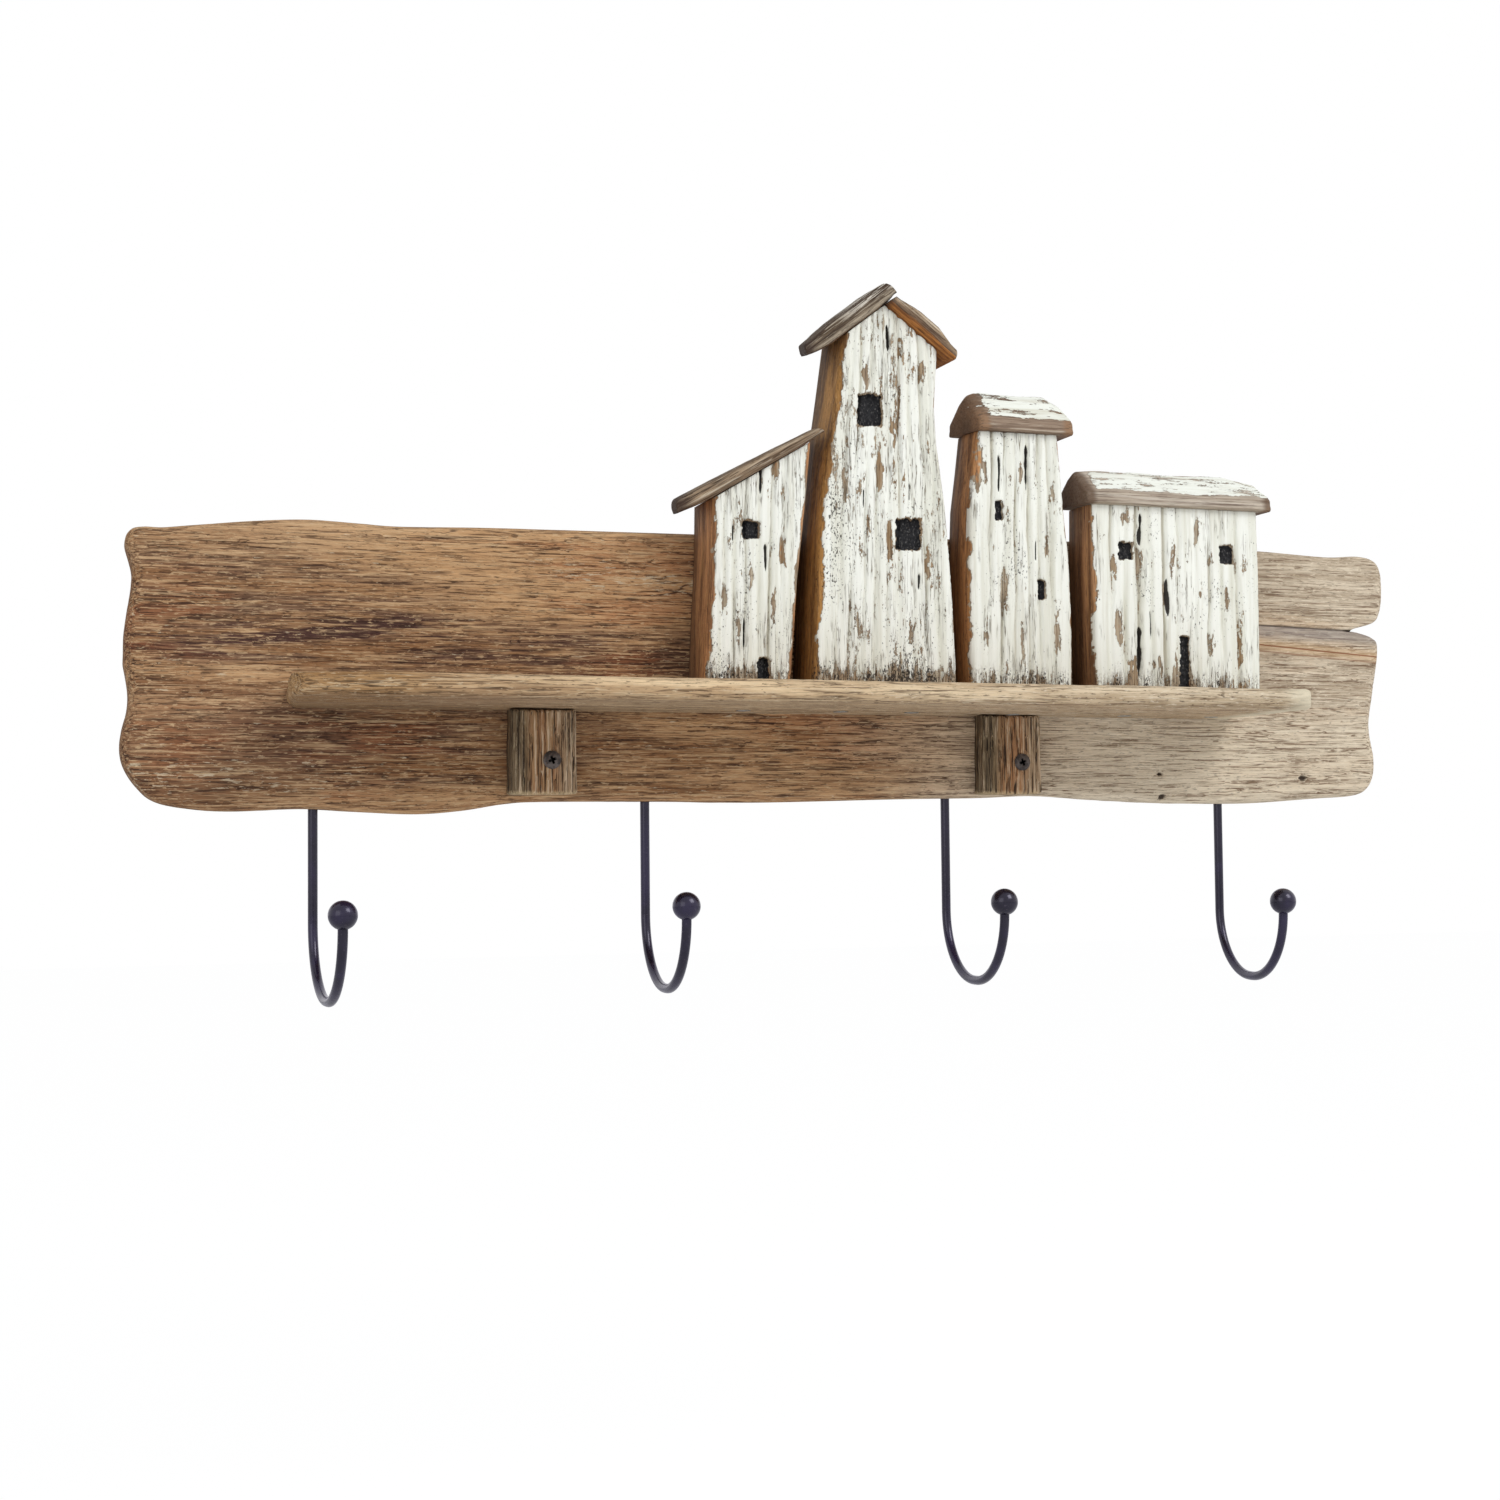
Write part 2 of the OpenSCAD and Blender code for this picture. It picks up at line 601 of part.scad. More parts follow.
module lean_to_house() {
    color("#cfc6b0") difference() {
        carved_house(lean_to_left, lean_to_right, lean_to_depth,
            function (x) lean_high_z - lean_slope * (lean_high_x - x), 6, 20, 36, 5, 0.4);
        openings(lean_to_openings, lean_to_depth);
        at_house_screw(0) screw_hole(house_screw_len, screw_d, screw_head_d);
    }
}

function gable(x) = x < gable_x
    ? gable_z - gable_left_slope * (gable_x - x)
    : gable_z - gable_right_slope * (x - gable_x);

module tower_house() {
    color("#d8d1bd") difference() {
        carved_house(tower_left, tower_right, tower_depth, function (x) gable(x), 8, 130, 44, 8, 0.6);
        openings(tower_openings, tower_depth);
        for (i = [1, 2])
            at_house_screw(i) screw_hole(house_screw_len, screw_d, screw_head_d);
    }
}

module narrow_house() {
    color("#d8d1bd") difference() {
        carved_house(narrow_left, narrow_right, narrow_depth, function (x) narrow_top, 5, 250, 36, 7, 1.4);
        openings(narrow_openings, narrow_depth);
        at_house_screw(3) screw_hole(house_screw_len, screw_d, screw_head_d);
    }
}

module low_house() {
    color("#d8d1bd") difference() {
        carved_house(low_left, low_right, low_depth, function (x) low_top, 10, 70, 60, 5, 0.8);
        openings(low_openings, low_depth);
        for (i = [4, 5])
            at_house_screw(i) screw_hole(house_screw_len, screw_d, screw_head_d);
    }
}

// Worn roof board on its underside z = 0: it runs along +X and is w deep, from y = 0 to y = -w.
// Its low end is sawn askew, so that it starts further along at the back. The form lists the
// thickness along it, and the lifts are how far its worn ends rise above the underside.
module roof_board(len, w, form, lifts, skew, n = 9) {
    stations = [0, 0.02, 0.06, 0.14, 0.3, 0.5, 0.7, 0.86, 0.94, 0.98, 1];
    function lift(u) = u < 0.3 ? lifts[0] * pow(1 - u / 0.3, 2) : u > 0.9 ? lifts[1] * pow((u - 0.9) / 0.1, 2) : 0;
    function shrink(u) = let (e = min(u, 1 - u) / 0.06) e >= 1 ? 1 : 0.45 + 0.55 * sqrt(e * (2 - e));
    skin([for (u = stations)
        let (
            z = lift(u),
            t = z + (lookup(u, form) - z) * shrink(u) * (1 + 0.05 * sin(u * 700)),
            inward = 2.2 * (1 - shrink(u)) + 0.35 * (1 + sin(u * 530)),
            a = -0.3,
            b = inward - w,
            h = t - z,
            top = [[a, z], [a, z + h * 0.55], [a - 1, z + h * 0.9], [a - 4, t], [(a + b) / 2, z + h * 1.02],
                   [b + 4, t], [b + 1, z + h * 0.88], [b, z + h * 0.5], [b + 0.6, z]],
            bottom = [[a, z], [a - 3, z], [(a + b) / 2, z], [b + 3, z], [b + 0.6, z]]
        )
        [for (p = ring_of(top, bottom, n)) [u * len + skew * (1 - u) * (1 + p.x / w), p.x, p.y]]
    ], n);
}

module lean_to_roof() {
    low_x = lean_roof_ends[0];
    slope_deg = atan(lean_slope);
    run = (lean_roof_ends[1] - low_x) / cos(slope_deg);
    color("#8b7660")
        translate([low_x, face_y, lean_high_z + glue - lean_slope * (lean_high_x - low_x)])
            rotate([0, -slope_deg, 0])
                roof_board(run, lean_to_depth + roof_overhang,
                           [[0, lean_roof_low_t], [0.2, lean_roof_low_t * 0.93], [1, lean_roof_high_t]],
                           [2, 0.8], lean_roof_skew);
}

// Thickness of a tower roof board along its length: full in the middle, and these shares at its ends
function thick_middle(first, last) = [
    [0, tower_roof_t * first], [0.14, tower_roof_t * (first + 0.04)], [0.4, tower_roof_t],
    [0.65, tower_roof_t], [0.86, tower_roof_t * (last + 0.06)], [1, tower_roof_t * last]
];

module tower_roof_left() {
    slope_deg = atan(gable_left_slope);
    low_x = tower_roof_ends[0];
    run = (tower_roof_ends[1] - low_x) / cos(slope_deg);
    color("#8d7a66")
        translate([low_x, face_y, gable(low_x) + glue]) rotate([0, -slope_deg, 0])
            roof_board(run, tower_depth + roof_overhang, thick_middle(0.86, 0.94), [2.6, 1.2], tower_roof_skew);
}

// The right board butts against the underside of the left one at the ridge
module tower_roof_right() {
    slope_deg = atan(gable_right_slope);
    run = (tower_roof_ends[2] - gable_x) / cos(slope_deg);
    color("#8d7a66") difference() {
        translate([gable_x, face_y, gable_z + glue]) rotate([0, slope_deg, 0]) translate([-2, 0, 0])
            roof_board(run + 2, tower_depth + roof_overhang, thick_middle(0.72, 0.66), [0, 1], 0);
        translate([gable_x, face_y - 2 * tower_depth, gable_z]) rotate([0, -atan(gable_left_slope), 0])
            translate([-2 * tower_depth, 0, 0]) cube([4 * tower_depth, 4 * tower_depth, 2 * tower_depth]);
    }
}

// Solid gabled roof on z = 0 with its ridge along X, from x = 0 to x = len at the back.
// Its left end is sawn askew, so that it starts further along at the front.
module gabled_roof(len, depth, height, hip_left, hip_right, skew) {
    n = 14;
    stations = [0, 0.03, 0.1, 0.3, 0.55, 0.8, 0.93, 0.985, 1];
    function drop(u) = u < 0.1 ? hip_left * (0.1 - u) / 0.1 : u > 0.8 ? hip_right * (u - 0.8) / 0.2 : 0;
    skin([for (u = stations)
        let (
            close = u < 0.03 || u > 0.97 ? 0.8 : 0,
            h = (height + 0.5 * sin(u * 600)) * (1 - drop(u)),
            f = min(fascia_h + 0.4 * sin(u * 450), h * 0.6),
            a = -0.3 - close,
            b = close - depth + 0.3 * sin(u * 800),
            ridge = -depth * 0.47,
            top = [[a, 0], [a + 0.1, f * 0.5], [a - 1, f], [ridge + 4.5, h - 3], [ridge + 1.5, h - 0.4],
                   [ridge, h], [ridge - 1.6, h - 0.4], [ridge - 5, h - 3.4], [b + 1.4, f + 0.9],
                   [b, f - 0.4], [b, f * 0.4], [b + 0.5, 0]],
            bottom = [[a, 0], [a - 4, 0], [ridge, 0], [b + 4, 0], [b + 0.5, 0]]
        )
        [for (p = ring_of(top, bottom, n)) [u * len - skew * (1 - u) * p.x / depth, p.x, p.y]]
    ], n);
}

module narrow_roof() {
    color("#cdc5b2") translate([narrow_roof_ends[0], face_y, narrow_top + glue])
        gabled_roof(narrow_roof_ends[1] - narrow_roof_ends[0], narrow_depth + roof_overhang,
                    narrow_roof_h, 0.1, 0.25, narrow_roof_skew);
}

module low_roof() {
    color("#cdc5b2") translate([low_roof_ends[0], face_y, low_top + glue])
        gabled_roof(low_roof_ends[1] - low_roof_ends[0], low_depth + roof_overhang,
                    low_roof_h, 0.05, 0.2, low_roof_skew);
}

back_board();
shelf();
bracket_block(block_left_x, block_left_w, block_screws[0]);  // bracket_block_left
bracket_block(block_right_x, block_right_w, block_screws[1]);  // bracket_block_right
block_screw(block_screws[0]);  // bracket_screw_left
block_screw(block_screws[1]);  // bracket_screw_right
hook_rod(0);  // hook_rod_1
hook_rod(1);  // hook_rod_2
hook_rod(2);  // hook_rod_3
hook_rod(3);  // hook_rod_4
hook_ball(0);  // hook_ball_1
hook_ball(1);  // hook_ball_2
hook_ball(2);  // hook_ball_3
hook_ball(3);  // hook_ball_4
lean_to_house();
lean_to_roof();
tower_house();
tower_roof_left();
tower_roof_right();
narrow_house();
narrow_roof();
low_house();
low_roof();
shelf_screw(shelf_screws[0]);  // shelf_screw_1
shelf_screw(shelf_screws[1]);  // shelf_screw_2
shelf_screw(shelf_screws[2]);  // shelf_screw_3
house_screw(0);  // house_screw_1
house_screw(1);  // house_screw_2
house_screw(2);  // house_screw_3
house_screw(3);  // house_screw_4
house_screw(4);  // house_screw_5
house_screw(5);  // house_screw_6
keyhole_plate(-1);  // keyhole_plate_left
keyhole_plate(1);  // keyhole_plate_right
plate_screw(0);  // plate_screw_1
plate_screw(1);  // plate_screw_2
plate_screw(2);  // plate_screw_3
plate_screw(3);  // plate_screw_4
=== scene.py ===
import math
import bmesh
import bpy
import numpy as np
from mathutils import Matrix, Vector
from mathutils.geometry import delaunay_2d_cdt


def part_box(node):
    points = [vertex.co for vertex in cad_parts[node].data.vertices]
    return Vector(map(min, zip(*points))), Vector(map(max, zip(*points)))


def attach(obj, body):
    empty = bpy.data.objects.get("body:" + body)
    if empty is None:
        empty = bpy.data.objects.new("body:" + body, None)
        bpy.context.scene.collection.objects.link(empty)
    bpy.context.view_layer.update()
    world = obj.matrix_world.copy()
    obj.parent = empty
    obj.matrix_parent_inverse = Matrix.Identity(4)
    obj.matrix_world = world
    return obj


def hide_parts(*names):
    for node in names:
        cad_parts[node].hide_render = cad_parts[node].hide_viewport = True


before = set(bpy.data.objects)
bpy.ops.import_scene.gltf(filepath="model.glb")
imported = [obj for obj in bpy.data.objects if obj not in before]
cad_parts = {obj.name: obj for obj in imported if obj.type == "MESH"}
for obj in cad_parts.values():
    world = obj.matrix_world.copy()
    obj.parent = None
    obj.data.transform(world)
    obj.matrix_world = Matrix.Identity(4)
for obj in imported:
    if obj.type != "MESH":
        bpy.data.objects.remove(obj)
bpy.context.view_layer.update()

# Back board: one plank of old driftwood with its live edges left on, worn round by water and sand,
# silvery tan at the right and darker brown at the left. It is split at the right end, and two
# steel keyhole plates are let into its back. The shelf, the blocks and the hooks are fixed to it.


def hashed(ix, iy, iz, seed):
    """Even random numbers from 0 to 1 for whole-number points: integers multiplied and folded."""
    h = (ix * 374761393 + iy * 668265263 + iz * 2147483647 + seed * 974634777) & 0xFFFFFFFF
    h = ((h ^ (h >> 13)) * 1274126177) & 0xFFFFFFFF
    h = ((h ^ (h >> 16)) * 2246822519) & 0xFFFFFFFF
    return ((h ^ (h >> 15)) & 0xFFFFFF) / float(0xFFFFFF)


def cloud(x, y, z=0.0, seed=1):
    """Smooth noise from -1 to 1: the corner values of unit cells, blended along each axis."""
    x, y, z = np.broadcast_arrays(np.asarray(x, float), np.asarray(y, float), np.asarray(z, float))
    ix, iy, iz = (np.floor(c).astype(np.int64) for c in (x, y, z))
    fx, fy, fz = x - ix, y - iy, z - iz
    fx, fy, fz = (f * f * f * (f * (f * 6 - 15) + 10) for f in (fx, fy, fz))
    total = 0.0
    for dx in (0, 1):
        for dy in (0, 1):
            for dz in (0, 1):
                weight = (fx if dx else 1 - fx) * (fy if dy else 1 - fy) * (fz if dz else 1 - fz)
                total = total + weight * hashed(ix + dx, iy + dy, iz + dz, seed)
    return total * 2 - 1


def clouds(x, y, z=0.0, seed=1, layers=3, gain=0.5):
    """Several layers of that noise, each at twice the pitch and gain times the height."""
    total, height, reach = 0.0, 1.0, 0.0
    for k in range(layers):
        total = total + height * cloud(x * 2 ** k, y * 2 ** k, z * 2 ** k, seed + 17 * k)
        reach += height
        height *= gain
    return total / reach


def rise(value, low, high):
    """Smooth step: 0 below low, 1 above high, with level ends."""
    t = np.clip((value - low) / (high - low), 0, 1)
    return t * t * (3 - 2 * t)


def worn(distance, wear):
    """Quarter ellipse of a worn edge: 0 at the edge, and 1 from a distance of wear inwards."""
    e = np.clip(distance / wear, 0, 1)
    return np.sqrt(np.maximum(1 - (1 - e) ** 2, 0))


def curve(points, t):
    """Points at shares t of a smooth curve through the given points, by Catmull and Rom's cubic."""
    p = np.asarray(points, float)
    last = len(p) - 1
    u = np.minimum(np.asarray(t, float) * last, last - 1e-9)
    i = u.astype(int)
    f = (u - i)[:, None]
    a, b, c, d = p[np.maximum(i - 1, 0)], p[i], p[i + 1], p[np.minimum(i + 2, last)]
    return 0.5 * (2 * b + (c - a) * f + (2 * a - 5 * b + 4 * c - d) * f ** 2
                  + (3 * b - a - 3 * c + d) * f ** 3)


def spread(line, shares):
    """Points at the given shares of a polyline's length."""
    run = np.concatenate([[0], np.cumsum(np.linalg.norm(np.diff(line, axis=0), axis=1))])
    along = np.asarray(shares) * run[-1]
    return np.stack([np.interp(along, run, line[:, k]) for k in range(line.shape[1])], 1)


def edge_steps(length, wear, step, rounds=8):
    """Shares from 0 to 1 over a length: fine steps in the worn edge at each end, even ones between."""
    edge = wear * (1 - np.cos(np.linspace(0, math.pi / 2, rounds + 1)))
    middle = np.linspace(wear, length - wear, max(2, int((length - 2 * wear) / step) + 1))
    return np.concatenate([edge[:-1], middle, (length - edge[:-1])[::-1]]) / length


def patch(bottom, top, left, right, u, v):
    """Grid that fills four edge curves: the two pairs of edges blended, less the blend of the corners."""
    u, v = np.asarray(u)[:, None, None], np.asarray(v)[None, :, None]
    b, t, l, r = bottom[:, None, :], top[:, None, :], left[None, :, :], right[None, :, :]
    corners = ((1 - u) * (1 - v) * bottom[0] + u * (1 - v) * bottom[-1]
               + (1 - u) * v * top[0] + u * v * top[-1])
    return (1 - v) * b + v * t + (1 - u) * l + u * r - corners


def grid_faces(rows, columns, start=0):
    """Squares of a grid of rows by columns points, whose first point has the number start."""
    n = np.arange(rows * columns).reshape(rows, columns) + start
    return np.stack([n[:-1, :-1], n[1:, :-1], n[1:, 1:], n[:-1, 1:]], -1).reshape(-1, 4)


def band_faces(first, second):
    """Squares between two closed rows of points with the same count."""
    a, b = np.asarray(first), np.asarray(second)
    return np.stack([a, np.roll(a, -1), np.roll(b, -1), b], -1)


def rim_of(rows, columns, start=0):
    """Numbers of the points round the edge of a grid, in order."""
    n = np.arange(rows * columns).reshape(rows, columns) + start
    return np.concatenate([n[:-1, 0], n[-1, :-1], n[:0:-1, -1], n[0, :0:-1]])


MM = 1000  # millimetres in a metre


def solid(name, points, quads, triangles=(), fields=None, smooth=True):
    """Mesh object from points in millimetres and faces, turned outwards by the sign of its volume.

    The volume is a sixth of the sum of each triangle's triple product. Fields are numbers that the
    mesh carries at its points, for its material."""
    points = np.asarray(points, float) / MM
    quads = np.asarray(quads, np.int64).reshape(-1, 4)
    triangles = np.asarray(triangles, np.int64).reshape(-1, 3)
    halves = np.concatenate([quads[:, [0, 1, 2]], quads[:, [0, 2, 3]], triangles])
    a, b, c = (points[halves[:, k]] for k in range(3))
    if np.sum(np.einsum("ij,ij->i", a, np.cross(b, c))) < 0:
        quads, triangles = quads[:, ::-1], triangles[:, ::-1]
    mesh = bpy.data.meshes.new(name)
    mesh.vertices.add(len(points))
    mesh.vertices.foreach_set("co", points.astype(np.float32).ravel())
    corners = np.concatenate([quads.ravel(), triangles.ravel()])
    counts = np.concatenate([np.full(len(quads), 4), np.full(len(triangles), 3)])
    mesh.loops.add(len(corners))
    mesh.loops.foreach_set("vertex_index", corners.astype(np.int32))
    mesh.polygons.add(len(counts))
    starts = np.concatenate([[0], np.cumsum(counts)[:-1]])
    mesh.polygons.foreach_set("loop_start", starts.astype(np.int32))
    mesh.polygons.foreach_set("use_smooth", np.full(len(counts), smooth))
    mesh.update(calc_edges=True)
    for field, values in (fields or {}).items():
        layer = mesh.attributes.new(field, "FLOAT", "POINT")
        layer.data.foreach_set("value", np.asarray(values, np.float32).ravel())
    mesh.validate()
    piece = bpy.data.objects.new(name, mesh)
    bpy.context.scene.collection.objects.link(piece)
    return piece


def place(piece, material, node):
    """Gives a piece its material, fixes it to the part, and lets it stand for its solid."""
    piece.data.materials.append(material)
    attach(piece, "root")
    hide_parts(node)


def flat_faces(loops, holes):
    """Triangles that fill the first loop and leave the holes open, over all the loops' points in turn.

    A triangle lies in a hole when a line from its middle crosses the hole's edge an odd number of times."""
    points = np.concatenate([np.asarray(loop, float)[:, :2] for loop in loops])
    edges, start = [], 0
    for loop in loops:
        n = np.arange(len(loop)) + start
        edges.append(np.stack([n, np.roll(n, -1)], -1))
        start += len(loop)
    _, _, faces, source, _, _ = delaunay_2d_cdt(
        [Vector(p) for p in points.tolist()], np.concatenate(edges).tolist(), [], 1, 1e-7)
    found = np.array([o[0] for o in source])[np.array([f for f in faces if len(f) == 3])]
    middle = points[found].mean(1)
    keep = np.ones(len(found), bool)
    for hole in holes:
        ring = np.asarray(hole, float)
        x0, y0 = ring.T
        x1, y1 = np.roll(ring, -1, 0).T
        x, y = middle[:, :1], middle[:, 1:]
        cross = ((y0 > y) != (y1 > y)) & (x < (x1 - x0) * (y - y0) / (y1 - y0 + 1e-12) + x0)
        keep &= cross.sum(1) % 2 == 0
    return found[keep]


# sizes of the board in millimetres, as in the part's source
BOARD_T = 18.0
BOARD_WEAR = 6.5
BOARD_CROWN = 5.5  # how far the middle of the face stands over its worn rim
BOARD_SPAN = (637, 124)  # length and height of the face, for the steps of its grid
SPLIT_TIP = 308.0
SPLIT_Z = 29.6
KNOTS = [(188, -47.3, 1.8), (273.4, -49.2, 2.6), (189.5, -59.1, 2.0)]  # place and radius
BOARD_BOTTOM = [
    [-323.5, 0], [-321.5, -17], [-325, -35], [-323, -46], [-317, -55], [-309, -61], [-294, -64],
    [-277, -65], [-246, -64], [-220, -65.5], [-195, -66.5], [-174, -65], [-154, -62], [-136, -61],
    [-80, -61], [-29, -61.5], [44, -60], [85, -59.5], [120, -58.5], [154, -60.5], [198, -62.3],
    [241, -62.4], [282, -60], [306, -58.5], [314, -55], [318.5, -48], [319.5, -38], [317, -21], [320, -3],
]
BOARD_TOP = [
    [-323.5, 0], [-323, 16], [-320, 38], [-323, 53], [-320.5, 59], [-315, 60.5], [-307, 60.5],
    [-294, 62], [-267, 65], [-244, 66.5], [-221, 65.7], [-202, 65], [-165, 66], [-125, 66.5],
    [-63, 67], [0, 68], [80, 70], [160, 71.5], [215, 71], [253, 70.3], [292, 68.7], [312, 69.7],
    [322, 67.5], [326, 62], [327, 52], [325.5, 40], [320.5, 34], [SPLIT_TIP, 30.4], [SPLIT_TIP, 28.8],
    [319, 25.8], [323.6, 20], [320, -3],
]
CORNERS = (4, 24, 22, 4)  # control points where the bottom, top and end edges meet
SHELF_SCREWS = [(-201.5, -13.45), (-15.0, -13.45), (171.5, -13.45)]
SCREW_HOLE_R, SCREW_HOLE_DEEP = 3.62, 4.0
HANGER_X, HANGER_Z = 200.0, 26.0
RECESS_R, RECESS_HALF, RECESS_DEEP = 8.3, 17.0, 1.62
POCKET, POCKET_DEEP = [[-6.5, -11.5], [6.5, -11.5], [6.5, 13.5], [-6.5, 13.5]], 8.6


def board_edges():
    """Bottom, top, left and right edges of the board, cut from its two long curves at the corners."""
    lb, lt = len(BOARD_BOTTOM) - 1, len(BOARD_TOP) - 1
    b0, b1, t1, t0 = CORNERS
    bottom = curve(BOARD_BOTTOM, np.linspace(b0 / lb, b1 / lb, 1500))
    top = curve(BOARD_TOP, np.linspace(t0 / lt, t1 / lt, 1500))
    left = np.concatenate([curve(BOARD_BOTTOM, np.linspace(b0 / lb, 0, 200)),
                           curve(BOARD_TOP, np.linspace(0, t0 / lt, 200))[1:]])
    right = np.concatenate([curve(BOARD_BOTTOM, np.linspace(b1 / lb, 1, 300)),
                            curve(BOARD_TOP, np.linspace(1, t1 / lt, 600))[1:]])
    return bottom, top, left, right


def board_relief(x, z):
    """Depth of the wood's own hollows: slow dips, ridges of grain, fibres and pores, all from noise
    stretched along the grain, and a round dip for the end of the split and for each knot hole."""
    drift = 5 * cloud(x / 130, z / 60, seed=3) + 2.0 * cloud(x / 45, z / 30, seed=4)
    g = z + drift
    slow = 0.55 * (clouds(x / 70, z / 26, seed=5, layers=2) + 0.6)
    ridges = 0.34 * (clouds(x / 75, g / 3.4, seed=6, layers=3, gain=0.65) + 0.7)
    fibre = 0.16 * np.abs(clouds(x / 26, g / 0.95, seed=7, layers=2))
    pores = 0.55 * rise(cloud(x / 6.5, g / 1.15, seed=8) + 0.35 * cloud(x / 40, z / 14, seed=9), 0.52, 0.86)
    crack_z = SPLIT_Z + 0.9 * np.sin((x - SPLIT_TIP) / 17) + 0.5 * cloud(x / 9, 0, seed=10)
    reach = rise(x, SPLIT_TIP - 12, SPLIT_TIP) * rise(-x, -325, -318)
    crack = 3.2 * np.exp(-((z - crack_z) / 0.5) ** 2) * reach
    knots = 0.0
    for kx, kz, kr in KNOTS:
        knots = knots + 2.4 * np.exp(-(((x - kx) / kr) ** 2 + ((z - kz) / (kr * 0.62)) ** 2) ** 1.5)
    return np.maximum(slow + ridges + fibre + pores, 0) + crack + knots


def match_turns(points, quads, triangles):
    """Faces of a piece made of several sheets, each sheet turned so that neighbours agree.

    Quads and triangles come and go as two arrays, because the mesh keeps each face's count."""
    mesh = bpy.data.meshes.new("turning")
    mesh.from_pydata(points.tolist(), [], quads.tolist() + triangles.tolist())
    work = bmesh.new()
    work.from_mesh(mesh)
    bmesh.ops.recalc_face_normals(work, faces=work.faces)
    work.to_mesh(mesh)
    work.free()
    counts = np.empty(len(mesh.polygons), np.int32)
    mesh.polygons.foreach_get("loop_total", counts)
    corners = np.empty(len(mesh.loops), np.int32)
    mesh.loops.foreach_get("vertex_index", corners)
    start = np.concatenate([[0], np.cumsum(counts)[:-1]])
    four, three = (corners[start[counts == k][:, None] + np.arange(k)] for k in (4, 3))
    bpy.data.meshes.remove(mesh)
    return four, three


